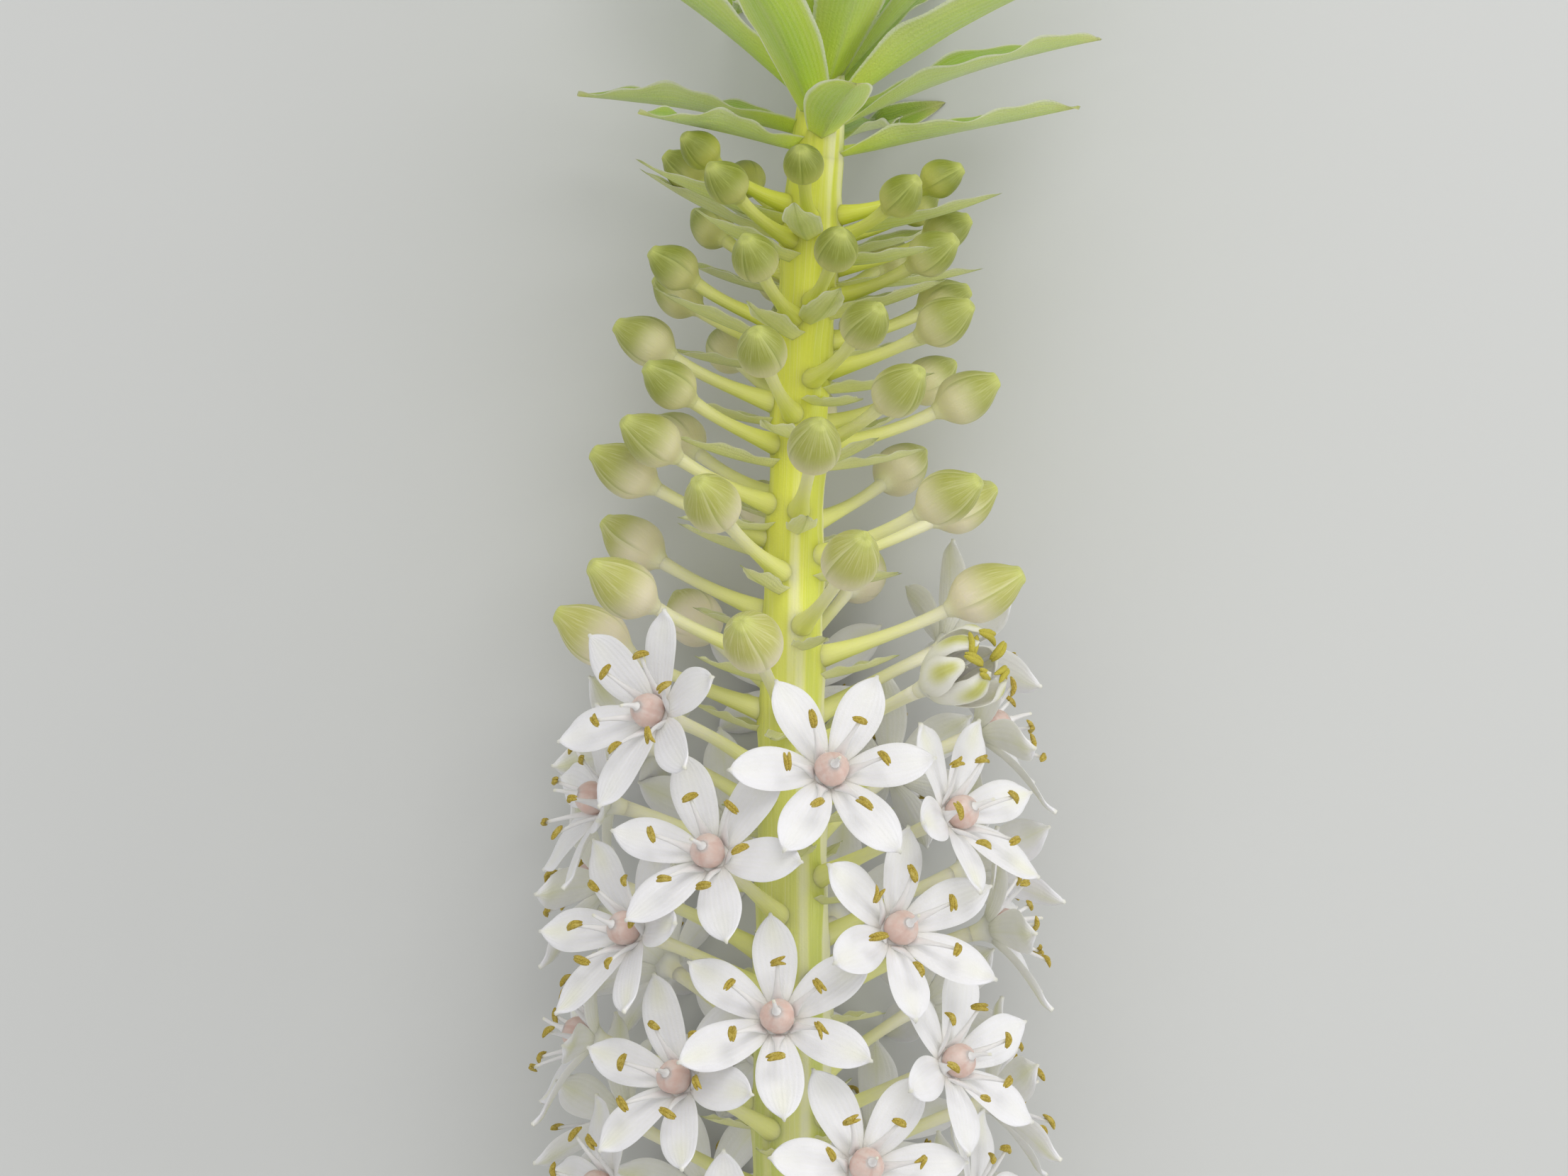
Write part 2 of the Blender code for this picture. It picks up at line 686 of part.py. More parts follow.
def fill_hollows(mesh):
    """Keeps the one outer skin of a fused mesh: the hollows that fusing sealed and any loose scrap go."""
    bm = bmesh.new()
    bm.from_mesh(mesh)
    left = set(bm.faces)
    skins = []
    while left:
        skin, edge_of_it = set(), [left.pop()]
        while edge_of_it:
            face = edge_of_it.pop()
            skin.add(face)
            for edge in face.edges:
                for other in edge.link_faces:
                    if other in left:
                        left.discard(other)
                        edge_of_it.append(other)
        skins.append(skin)
    outer = max(skins, key=len)
    inner = [face for skin in skins if skin is not outer for face in skin]
    bmesh.ops.delete(bm, geom=inner, context="FACES")
    bm.to_mesh(mesh)
    bm.free()


def press(bm):
    """Cuts a skin flat where it would go under the surface."""
    if min(v.co.z for v in bm.verts) >= 0:
        return
    bmesh.ops.bisect_plane(
        bm,
        geom=[*bm.verts, *bm.edges, *bm.faces],
        dist=CUT_NEAR,
        plane_co=(0, 0, 0),
        plane_no=(0, 0, 1),
        clear_inner=True,
    )
    bmesh.ops.holes_fill(bm, edges=[e for e in bm.edges if e.is_boundary])
    bmesh.ops.recalc_face_normals(bm, faces=bm.faces)


def main():
    """Builds the spike: the stem and the crown, then the blooms, the ones that face up first."""
    for old in list(bpy.data.objects):
        bpy.data.objects.remove(old)
    spike = bpy.data.collections.new("pineapple_lily")
    bpy.context.scene.collection.children.link(spike)
    florets = [Floret(n) for n in range(FLORETS)]
    grown = [stalk(f) for f in florets] + [bract(f) for f in florets[FIRST_BRACT:]]
    stem = fuse("stem", stem_core(), grown, spike)
    crown = fuse("crown", crown_core(), [crown_leaf(m) for m in range(CROWN_LEAVES)], spike)
    bm = bmesh.new()
    bm.from_mesh(stem.data)
    standing = [BVHTree.FromBMesh(bm)]
    bm.free()
    for floret in sorted((f for f in florets if f.open), key=lambda f: -f.radial.z):
        settle(floret, standing)
        skin = bloom_skin(floret)
        standing.append(BVHTree.FromBMesh(skin))
        press(skin)
        object_of(floret.name, skin, spike)
    for whole in (stem, crown):
        bm = bmesh.new()
        bm.from_mesh(whole.data)
        press(bm)
        bm.to_mesh(whole.data)
        bm.free()
    finish(spike)


def finish(spike):
    """Colours the pieces, and puts the origin under the middle of the whole spike."""
    low = Vector((1, 1, 1))
    high = -low
    for made in spike.objects:
        for v in made.data.vertices:
            low = Vector(map(min, low, v.co))
            high = Vector(map(max, high, v.co))
    shift = Matrix.Translation((-(low.x + high.x) / 2, -(low.y + high.y) / 2, 0))
    for made in spike.objects:
        made.data.transform(shift)
        made.data.materials.clear()
        made.data.materials.append(material(made.name, COLOURS[made.name.split("_")[0]]))
        made.data.shade_smooth()
        made.data.set_sharp_from_angle(angle=math.radians(SHARP_FROM))


main()
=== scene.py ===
import random
from math import atan2, copysign, cos, degrees, exp, pi, radians, sin, sqrt, tan

import bmesh
import bpy
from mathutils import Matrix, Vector


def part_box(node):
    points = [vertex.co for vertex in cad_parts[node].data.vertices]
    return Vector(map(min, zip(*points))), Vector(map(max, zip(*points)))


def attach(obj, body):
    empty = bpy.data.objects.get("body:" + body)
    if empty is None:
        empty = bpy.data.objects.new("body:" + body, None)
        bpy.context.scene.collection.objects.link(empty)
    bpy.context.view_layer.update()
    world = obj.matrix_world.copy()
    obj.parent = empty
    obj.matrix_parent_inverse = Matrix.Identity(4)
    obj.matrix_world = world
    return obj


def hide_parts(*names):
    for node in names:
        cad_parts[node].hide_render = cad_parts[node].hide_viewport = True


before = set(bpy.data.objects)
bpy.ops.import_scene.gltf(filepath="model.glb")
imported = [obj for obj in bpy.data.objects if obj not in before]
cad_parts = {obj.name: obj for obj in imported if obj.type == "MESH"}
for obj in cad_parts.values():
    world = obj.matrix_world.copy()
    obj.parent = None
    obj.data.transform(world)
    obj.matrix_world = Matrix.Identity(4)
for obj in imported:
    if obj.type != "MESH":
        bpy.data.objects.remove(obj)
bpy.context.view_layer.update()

# Sizes are in metres, angles in degrees and colours in linear RGB.
# The spike lies along +Y. 0 along it is the lowest floret's centre, and SHIFT takes that to the frame.

# The surface and the stem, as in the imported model
AXIS_HEIGHT = 0.028
PRESSED = 0.00028
STEM_SIDES = 10
STEM_CUT = -0.128
STEM_RADII = (
    (STEM_CUT, 0.0056), (-0.11, 0.0056), (-0.094, 0.0055), (-0.077, 0.0054), (-0.06, 0.0053),
    (-0.043, 0.0052), (-0.026, 0.005), (-0.012, 0.0049), (0.03, 0.0046), (0.07, 0.0037),
    (0.1, 0.0031), (0.1345, 0.0033),
)
DROP_START = -0.012
DROP_END = -0.11
LEAN = 0.0042
LEAN_START = 0.064
LEAN_LENGTH = 0.085

# The spiral of florets
FLORETS = 83
SPACING = 0.00218
TIGHTER_FROM = 25
CLOSER = 0.000027
FIRST_TURN = 38
GOLDEN_ANGLE = 137.5
DRIFT_FROM = 50
DRIFT = 0.45
LAST_OPEN = 33
AHEAD = (36,)
OPENING = 34
RISE_SPREAD = 0.0004
TURN_SPREAD = 2.5
OFF_SPIRAL = {
    11: (0.0033, 2.5), 18: (0.004, 8), 19: (0.0027, 6), 21: (-0.0013, 0), 24: (0.001, 0),
    26: (0.0008, -11), 35: (0.0032, 0), 37: (-0.0006, -2), 39: (0.0019, 6), 42: (0, -6),
    44: (0.004, 3), 45: (0.001, 2), 52: (0.0046, 0), 53: (-0.004, -14),
    56: (0.0038, 6), 60: (0.0024, -8), 61: (-0.008, 5), 63: (-0.0026, 2),
    66: (0.001, 8), 68: (0.0014, 3), 69: (-0.003, 8), 71: (-0.0024, 6), 74: (0.002, 6),
    77: (0.0018, 4), 79: (0.0006, 6),
}
ROLLS = {
    8: -25, 11: -14, 13: 18, 16: -2, 19: -28, 21: 8, 24: -5, 26: 24, 29: 30,
    32: 10, 34: 20,
}
ROLL_SPREAD = 30
SEED = 7

# A bloom
BLOOM_REACH = 0.0237
REACH_SPREAD = 0.0008
BLOOM_LOWEST = 0.0062
FACE_UP = 19
FACE_SPREAD = 5
PETALS = 6
PETAL_START = 0.0017
PETAL_LENGTH = 0.0113
PETAL_HALF_WIDTH = 0.0027
PETAL_WIDEST = 0.55
PETAL_NECK = 0.42
PETAL_SCALES = (0.94, 1.04)
PETAL_SPLAY = 4
PETAL_CUP = 17
CUP_SPREAD = 4
PETAL_CURL = 13
CURL_SPREAD = 3
PETAL_CHANNEL = 0.13
OPENING_CUP = 76
OPENING_CURL = -36
OPENING_LENGTH = 0.85
OPENING_CHANNEL = 0.38
OPENING_TIP_POWER = 0.52
OPENING_CROWDING = 1.8
OPENING_HOOD = 0.0011
OPENING_TURNS = (-5, 6)  # of its outer and inner petals
OPENING_STAMEN = (0.0023, 0.0094)
OPENING_BOW = (0.0026, 0.004)
OPENING_ANTHER = 1.3
OPENING_OVARY = 0.7
FUNNEL_DEPTH = 0.0022
STAMEN = (0.0056, 0.0052)
SEAT_GAP = 0.0003
TURNS = (0, 8, -8, 16, -16, 24, -24, 30)
TIP_APART = 34  # between the directions of two petals' tips, at least
ON_TABLE = 0.0006  # a tip this low is pressed, and says nothing of its bend

# The finer petal
PETAL_ROWS = 22
PETAL_SEGMENTS = 8
PETAL_CROWDING = 1.35  # how much closer its rows stand near its tip
PETAL_TIP_POWER = 0.68
PETAL_HALF_THICK = 0.00022
PETAL_RIM_THICK = 0.00004
PETAL_BODY = 0.965  # share of its length without the point at its tip
POINT_WIDTH = 0.0003
POINT_MIDDLE = 0.93
POINT_REACH = 0.07
PETAL_GROOVE = 0.0001
PETAL_PLEAT = 0.000012
PETAL_RIPPLE = 0.00024
PETAL_TWIST = 0.09
PETAL_HOOD = 0.0007
HOOD_FROM = 0.8

# The finer middle of a bloom. A grid is the rows along a form and the points round it.
OVARY_GRID = (15, 30)
OVARY_RADIUS = 0.00202
OVARY_MIDDLE = 0.0018
OVARY_LOBES = 0.05
STYLE_GRID = (9, 10)
STYLE_TIP = 0.0063
STYLE_LEAN = 0.0006
STYLE_RADIUS = (0.00044, 0.0002)
FILAMENT_GRID = (9, 8)
FILAMENT_ROOT = (0.002, 0.0003)  # reach and height
FILAMENT_BOW = (0.0031, 0.0027)
FILAMENT_WIDTH = (0.00022, 0.00095)  # at its tip and its root
FILAMENT_SWAY = 0.0004
ANTHER_GRID = (12, 10)
ANTHER_LENGTH = 0.0023
ANTHER_RADIUS = 0.00029
ANTHER_SIZES = (0.88, 1.06)
ANTHER_BENT = (0.1, 0.45)
ANTHER_PARTED = (0.00007, 0.0006)  # how far its lobes part at most, at each end
CUP_RING = 24
CUP_PROFILE = (  # height off the bloom's face and radius of its green base
    (-0.0031, 0.0007), (-0.0028, 0.00083), (-0.0025, 0.00093), (-0.0021, 0.00099),
    (-0.0016, 0.00107), (-0.0011, 0.00125), (-0.0006, 0.0016), (-0.0001, 0.002),
    (0.0003, 0.0021), (0.0005, 0.0017), (0.0004, 0.001),
)

# A stalk and its bud
STALK_RADIUS = 0.00078
STALK_FOOT = 1.25
STALK_WAIST = 0.2  # how much slimmer it is half way
STALK_SEAT = 0.55
STALK_RISE = 24
STALK_BOW = 0.45
BUD_REACH = (0.0155, 0.0242)
BUD_REACH_POWER = 1.5
BUD_THICK = (0.0046, 0.007)
BUD_SLIM = (1.22, 1.5)
BUD_RISE = (34, 27)
LOWEST_BUD = 35
STALK_ROWS = 14
STALK_RING = 24
BUD_ROWS = 28
BUD_RING = 42
BUD_FROM = -0.56  # where its neck starts, in lengths from its middle
BUD_LAP = 0.01  # step where one of its petals laps over the next, as a share of its radius
BUD_PROFILE = (  # share of the way from its neck to its tip, and radius as a share of its widest
    (0, 0.17), (0.05, 0.24), (0.11, 0.39), (0.19, 0.66), (0.3, 0.91), (0.42, 1), (0.54, 0.985),
    (0.66, 0.89), (0.77, 0.73), (0.86, 0.54), (0.91, 0.42), (0.945, 0.355), (0.975, 0.3),
    (0.993, 0.2), (1, 0.08),
)
NECK_COLOURS = ((0.66, 0.68, 0.15), (0.88, 0.85, 0.66))  # at the highest bud and the lowest

# The finer stem
RACHIS_ROWS = 190
CORE_SIDES = 48
STEM_LONG = 0.2635  # from the cut end to the crown
SWELLING = 0.0005  # round each stalk's root
SWELLING_WIDE = 0.0019
SWELLING_SEEN = 0.006
CUT_RINGS = (1, 0.96, 0.85, 0.65, 0.45, 0.25)
CUT_DISH = 0.0006

# Bracts
BRACT_LENGTH = (0.008, 0.0225)
BRACT_HALF_WIDTH = (0.0015, 0.0024)
BRACT_RISE = 13
BRACT_RISE_SPREAD = 9
BRACT_DROOP = -16
FRONT_BRACTS_LOWER = 7
BRACT_BELOW = 0.0023
BRACT_SEAT = 0.6
BRACT_ROOT = 0.6
BRACT_POWER = 2
FIRST_BRACT = 12
WITHERED_BRACT = 0.0055  # length of the small ones below FIRST_BRACT
BRACT_ROWS = 36

# The crown
CROWN_LEAVES = 24
CROWN_START = 0.1348
CROWN_FIRST = 0.0009
CROWN_TURN = -80
CROWN_STEP = 0.00062
CROWN_CORE = ((-0.0012, 0.0032), (0, 0.0033), (0.009, 0.0028), (0.017, 0.0016), (0.0185, 0.0004))
CROWN_SEAT = 0.0008
CROWN_LENGTH = (0.03, 0.047, 0.03)
CROWN_HALF_WIDTH = (0.0028, 0.0047, 0.003)
CROWN_RISE = (11, 84)
CROWN_RISE_POWER = 1.3
CROWN_RISE_SPREAD = 3
CROWN_TURN_SPREAD = 4
CROWN_SCALES = (0.93, 1.05)
CROWN_DROOP = (4, 26, 6)
OFF_CROWN = {
    0: (4, 0, 1), 1: (-8, -6, 0.76), 3: (-9, -22, 0.85), 4: (-12, 0, 0.78),
    9: (-6, 0, 1),
}
LEAF_ROOT = 0.32
LEAF_THINNING = 0.35
LEAF_FOLD = 0.42
LEAF_WAVE = 0.0006
WAVE_ANGLES = (1, 13)
LEAF_WIDEST = 0.45
LEAF_ROWS = 120
LEAF_SEGMENTS = 8
SMOOTH_LEAVES = {3: 0.1, 6: 0.4}  # those that point at the viewer, whose edges are calmer
BRACT_WAVE = 0.00022
# Depth of the teeth as a share of the half width, thickness in the middle and at the rim, sharpness
BLADES = {"leaf": (0.034, 0.0009, 0.00016, 0.8), "bract": (0.01, 0.00044, 0.00008, 1.2)}

# The stage. Each light has its place, size, power and colour.
FLOOR_COLOUR = (0.6, 0.61, 0.605, 1)
AMBIENT_COLOUR = (1, 0.997, 0.99, 1)
AMBIENT_STRENGTH = 0.6
LIGHTS = (
    ("key", (0.2, 0.72, 0.75), 0.6, 3.3, (1, 0.985, 0.96)),
    ("above", (-0.25, 0.05, 0.95), 0.9, 1.5, (1, 1, 1)),
    ("right", (0.8, 0, 0.36), 0.6, 2.1, (1, 1, 0.98)),
)
LIT = Vector((0, 0.05, 0.03))
CAMERA = Vector((-0.00094, 0.0841, AXIS_HEIGHT + 0.5222))

SLANTED = Vector((0.31, 0.17, 0.93))
SKY = Vector((0, 0, 1))
SHARP_FROM = 100  # the angle of an edge that isn't shaded smooth
TABLE_GAP = 0.00004  # the least height of anything over the floor


def packed_shift():
    """What takes the spike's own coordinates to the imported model's, read at the stem's cut end."""
    low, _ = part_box("stem")
    foot = [v.co.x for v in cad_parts["stem"].data.vertices if v.co.y < low.y + 0.001]
    return Vector(((min(foot) + max(foot)) / 2, low.y - STEM_CUT, 0))


SHIFT = packed_shift()


def spread(draw, most):
    return draw.uniform(-most, most)


def between(ends, share):
    return ends[0] + (ends[1] - ends[0]) * share


def smooth(low, high, value):
    """0 below low, 1 above high and smooth between."""
    t = min(1, max(0, (value - low) / (high - low)))
    return t * t * (3 - 2 * t)


def arched(levels, share):
    first, middle, last = levels
    ends = first * (1 - share) * (1 - 2 * share) + last * share * (2 * share - 1)
    return ends + 4 * middle * share * (1 - share)


def stem_radius(along):
    for (low, below), (high, above) in zip(STEM_RADII, STEM_RADII[1:]):
        if along <= high:
            return between((below, above), (along - low) / (high - low))
    return STEM_RADII[-1][1]


def stem_frame(along):
    """(point, tangent, across) of the stem's middle line."""
    over = max(0, along - LEAN_START) / LEAN_LENGTH
    bend = min(1, max(0, (DROP_START - along) / (DROP_START - DROP_END)))
    drop = AXIS_HEIGHT - stem_radius(STEM_CUT) * cos(pi / STEM_SIDES)
    height = AXIS_HEIGHT - drop * bend * bend * (3 - 2 * bend)
    rise = drop * 6 * bend * (1 - bend) / (DROP_START - DROP_END)
    tangent = Vector((2 * LEAN * over / LEAN_LENGTH, 1, rise)).normalized()
    across = Vector((tangent.y, -tangent.x, 0)).normalized()
    return Vector((LEAN * over**2, along, height)), tangent, across


def outward(along, turn):
    point, tangent, across = stem_frame(along)
    a = radians(turn)
    return point, tangent, across * sin(a) + SKY * cos(a)


def lift(point):
    return Vector((point.x, point.y, max(point.z, PRESSED)))


class Floret:
    """Where one floret stands: the base of its petals, or the middle of its bud, and the way it faces."""

    def __init__(self, n):
        draw = random.Random(SEED * 1000 + n)
        rise, turn = OFF_SPIRAL.get(n, (spread(draw, RISE_SPREAD), spread(draw, TURN_SPREAD)))
        over = max(0, n - TIGHTER_FROM)
        self.n = n
        self.along = n * SPACING - CLOSER * over * over / 2 + rise
        self.turn = FIRST_TURN - GOLDEN_ANGLE * n + DRIFT * max(0, n - DRIFT_FROM) + turn
        self.up_spike = min(1, max(0, (FLORETS - 1 - n) / (FLORETS - 1 - LOWEST_BUD)))
        self.opening = n == OPENING
        self.open = n <= LAST_OPEN or n in AHEAD or self.opening
        self.mark = "opening" if self.opening else f"{n + 1:02d}"
        on_axis, tangent, radial = outward(self.along, self.turn)
        if self.open:
            reach = BLOOM_REACH + spread(draw, REACH_SPREAD)
            face = radians(FACE_UP + spread(draw, FACE_SPREAD))
            room = AXIS_HEIGHT - BLOOM_LOWEST
            if radial.z < 0 and reach * -radial.z > room:
                reach = room / -radial.z
        else:
            reach = between(BUD_REACH, self.up_spike**BUD_REACH_POWER)
            face = radians(between(BUD_RISE, self.up_spike))
        self.centre = on_axis + radial * reach
        self.out = radial * cos(face) + tangent * sin(face)
        self.up = tangent * cos(face) - radial * sin(face)
        self.right = self.up.cross(self.out)
        self.root_along = self.along - (reach - stem_radius(self.along)) * tan(radians(STALK_RISE))
        self.roll = ROLLS.get(n, spread(draw, ROLL_SPREAD))
        self.cup = OPENING_CUP if self.opening else PETAL_CUP + spread(draw, CUP_SPREAD)
        self.curl = OPENING_CURL if self.opening else PETAL_CURL + spread(draw, CURL_SPREAD)
        self.stamen = OPENING_STAMEN if self.opening else STAMEN
        self.ovary = OPENING_OVARY if self.opening else 1
        self.bends = [0] * PETALS
        self.splay = [spread(draw, PETAL_SPLAY) for _ in range(PETALS)]
        grown = OPENING_LENGTH if self.opening else 1
        self.scale = [grown * draw.uniform(*PETAL_SCALES) for _ in range(PETALS)]

    def place(self, angle, reach, height, sideways=0):
        """A point from its angle round the bloom, its reach from the middle and its height off the face."""
        a = radians(angle)
        along = self.up * cos(a) + self.right * sin(a)
        across = self.right * cos(a) - self.up * sin(a)
        return self.centre + along * reach + across * sideways + self.out * height

    def settle(self):
        """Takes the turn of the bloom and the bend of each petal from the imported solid's tips."""
        tips = []
        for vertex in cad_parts["bloom_" + self.mark].data.vertices:
            point = vertex.co - SHIFT
            arm = point - self.centre
            turned = degrees(atan2(arm.dot(self.right), arm.dot(self.up)))
            tips.append((arm.length, turned, arm, point.z))
        found = []
        for tip in sorted(tips, key=lambda tip: -tip[0]):
            if len(found) < PETALS and all(abs(apart(tip[1], other[1])) > TIP_APART for other in found):
                found.append(tip)

        def petal_of(tip, turn):
            first = self.roll + turn
            return min((abs(apart(tip[1], first + 60 * j + self.splay[j])), j) for j in range(PETALS))

        turn = min(TURNS, key=lambda t: sum(petal_of(tip, t)[0] for tip in found))
        for tip in found:
            _, _, arm, height = tip
            off = arm.dot(self.out)
            reach = sqrt(max(0, arm.length_squared - off * off)) - PETAL_START
            if height > ON_TABLE:
                self.bends[petal_of(tip, turn)[1]] = degrees(atan2(off, reach)) - self.cup
        self.roll += turn


def apart(first, second):
    """The angle from the second direction to the first, from -180 to 180."""
    return (first - second + 180) % 360 - 180


class Skin:
    """The points, faces and finishes of one piece, before they become an object."""

    def __init__(self):
        self.points, self.places, self.tints = [], [], []
        self.faces, self.finishes = [], []
        self.tint = 0

    def add(self, point, place):
        self.points.append(Vector((point.x, point.y, max(point.z, TABLE_GAP))) + SHIFT)
        self.places.append(place)
        self.tints.append(self.tint)
        return len(self.points) - 1

    def face(self, corners, finish):
        self.faces.append(corners)
        self.finishes.append(finish)

    def tube(self, rings, finish, foot=None, tip=None):
        """A skin over rings of (point, place). An end is closed by the point given for it, or is open."""
        made = [[self.add(*corner) for corner in ring] for ring in rings]
        for below, above in zip(made, made[1:]):
            for a in range(len(below)):
                b = (a + 1) % len(below)
                self.face((below[a], below[b], above[b], above[a]), finish)
        for end, ring in ((foot, made[0]), (tip, made[-1])):
            if end is None:
                continue
            last = self.add(*end)
            for a in range(len(ring)):
                self.face((ring[a], ring[(a + 1) % len(ring)], last), finish)

    def object(self, name, slot, nodes, finishes):
        """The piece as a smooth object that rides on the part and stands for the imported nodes."""
        mesh = bpy.data.meshes.new(name)
        mesh.from_pydata(self.points, [], self.faces)
        place = mesh.attributes.new("place", "FLOAT_VECTOR", "POINT")
        place.data.foreach_set("vector", [number for row in self.places for number in row])
        tint = mesh.attributes.new("tint", "FLOAT", "POINT")
        tint.data.foreach_set("value", self.tints)
        for made in finishes.values():
            mesh.materials.append(made)
        order = list(finishes)
        mesh.polygons.foreach_set("material_index", [order.index(finish) for finish in self.finishes])
        bm = bmesh.new()
        bm.from_mesh(mesh)
        bmesh.ops.recalc_face_normals(bm, faces=bm.faces)
        bm.to_mesh(mesh)
        bm.free()
        mesh.shade_smooth()
        mesh.set_sharp_from_angle(angle=radians(SHARP_FROM))
        piece = bpy.data.objects.new(name, mesh)
        bpy.context.scene.collection.objects.link(piece)
        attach(piece, "root")
        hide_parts(*nodes)
        return piece


def around(sides):
    """The angle of each corner of a ring, with its cosine and sine."""
    for k in range(sides):
        a = 2 * pi * k / sides
        yield a, cos(a), sin(a)


def ring_round(centre, direction, radius, sides, along):
    """A ring of (point, place) round a direction."""
    first = direction.cross(SLANTED).normalized()
    second = direction.cross(first).normalized()
    return [(centre + (first * c + second * s) * radius, (c, s, along)) for _, c, s in around(sides)]


def curve_point(start, bend, end, t):
    """A point of the curve from start to end that heads for bend, and its direction there."""
    point = start * (1 - t) ** 2 + bend * 2 * t * (1 - t) + end * t * t
    return point, ((bend - start) * (1 - t) + (end - bend) * t).normalized()


def blade_width(share, neck, widest, end, power):
    """A petal's or leaf's half width as a share of its widest: neck at its root, and 0 from its end on."""
    if share < widest:
        return neck + (1 - neck) * sin(pi / 2 * share / widest)
    over = (share - widest) / (end - widest)
    return max(0, 1 - over * over) ** power


def petal_rings(floret, j):
    """One petal: channelled, faintly pleated, rippled at its edges and hooded at a small thick point."""
    draw = random.Random(SEED * 9000 + floret.n * PETALS + j)
    phase = draw.uniform(0, 6.3)
    waves = draw.uniform(4, 7)
    ripple = PETAL_RIPPLE * draw.uniform(0.4, 1)
    twist = spread(draw, PETAL_TWIST)
    form = (PETAL_CHANNEL, PETAL_BODY, PETAL_TIP_POWER, PETAL_CROWDING, 0, floret.bends[j])
    if floret.opening:
        form = (OPENING_CHANNEL, 1, OPENING_TIP_POWER, OPENING_CROWDING, OPENING_HOOD, OPENING_TURNS[j % 2])
    channel, body, power, crowding, turned_in, turn = form
    curl = radians(floret.curl)
    start = radians(floret.cup + turn) + curl
    length = PETAL_LENGTH * floret.scale[j]
    rings = []
    for i in range(-1, PETAL_ROWS):
        t = 1 - (1 - i / PETAL_ROWS) ** crowding
        slope = start - 2 * curl * t
        reach = PETAL_START + length * (sin(start) - sin(slope)) / (2 * curl)
        height = length * (cos(slope) - cos(start)) / (2 * curl)
        hood = smooth(HOOD_FROM, 1, t)
        height += PETAL_HOOD * hood * hood * floret.scale[j]
        reach -= turned_in * hood * hood
        slope += 0.5 * hood
        width = blade_width(t, PETAL_NECK, PETAL_WIDEST, body, power)
        width *= PETAL_HALF_WIDTH * floret.scale[j]
        if not floret.opening:
            point = POINT_WIDTH * sqrt(max(0, 1 - ((t - POINT_MIDDLE) / POINT_REACH) ** 2))
            width = max(width, point)
        thick = PETAL_HALF_THICK * (1.5 - 0.6 * smooth(0, 0.3, t) + 0.4 * hood)
        angle = floret.roll + 60 * j + floret.splay[j] * t
        ring = []
        for a, c, bulge in around(2 * PETAL_SEGMENTS):
            side = -c
            rise = channel * width * side * side
            rise -= PETAL_GROOVE * exp(-((side / 0.16) ** 2)) * sin(pi * min(1, t * 1.1))
            rise += PETAL_PLEAT * cos(9 * side) * smooth(0.05, 0.3, t) * (1 - hood)
            wave = sin(waves * t + phase + 1.3 * side)
            rise += ripple * side * side * wave * smooth(0.1, 0.6, t) * (1 - hood)
            rise += twist * side * width * t
            out = rise + bulge * thick + copysign(PETAL_RIM_THICK, bulge) * (1 - abs(side))
            moved = (reach - rise * sin(slope), height + rise * cos(slope))
            free = floret.place(angle, *moved, side * width)
            held = lift(free)
            if held.z > free.z:
                held.z += bulge * thick
            else:
                moved = (reach - out * sin(slope), height + out * cos(slope))
                held = floret.place(angle, *moved, side * width)
            ring.append((held, (side, t, 1 if a < pi else 0)))
        rings.append(ring)
    tip = floret.place(floret.roll + 60 * j + floret.splay[j], reach + 0.0001, height + 0.00005)
    return rings, (lift(tip), (0, 1, 0.5))


def filament_and_anther(skin, floret, j, draw):
    """A stamen: a white filament, broad at its root, with a yellow anther across its tip."""
    angle = floret.roll + 60 * j
    end = Vector(floret.stamen) * (1 + spread(draw, 0.06))
    bow = OPENING_BOW if floret.opening else FILAMENT_BOW
    sway = spread(draw, FILAMENT_SWAY)
    rows, sides = FILAMENT_GRID
    rings = []
    for i in range(rows):
        t = i / (rows - 1)
        flat, heading = curve_point(Vector(FILAMENT_ROOT), Vector(bow), end, t)
        width = between(FILAMENT_WIDTH, (1 - t) ** 2.2)
        thick = min(width, 0.0003 - 0.0001 * t)
        ring = []
        for _, c, s in around(sides):
            off = s * thick
            across = c * width + sway * t * t
            where = floret.place(angle, flat.x - heading.y * off, flat.y + heading.x * off, across)
            ring.append((lift(where), (c, s, t)))
        rings.append(ring)
    tip = lift(floret.place(angle, flat.x, flat.y, sway))
    skin.tube(rings, "filament", tip=(tip, (0, 0, 1)))
    anther(skin, floret, tip, angle, draw)


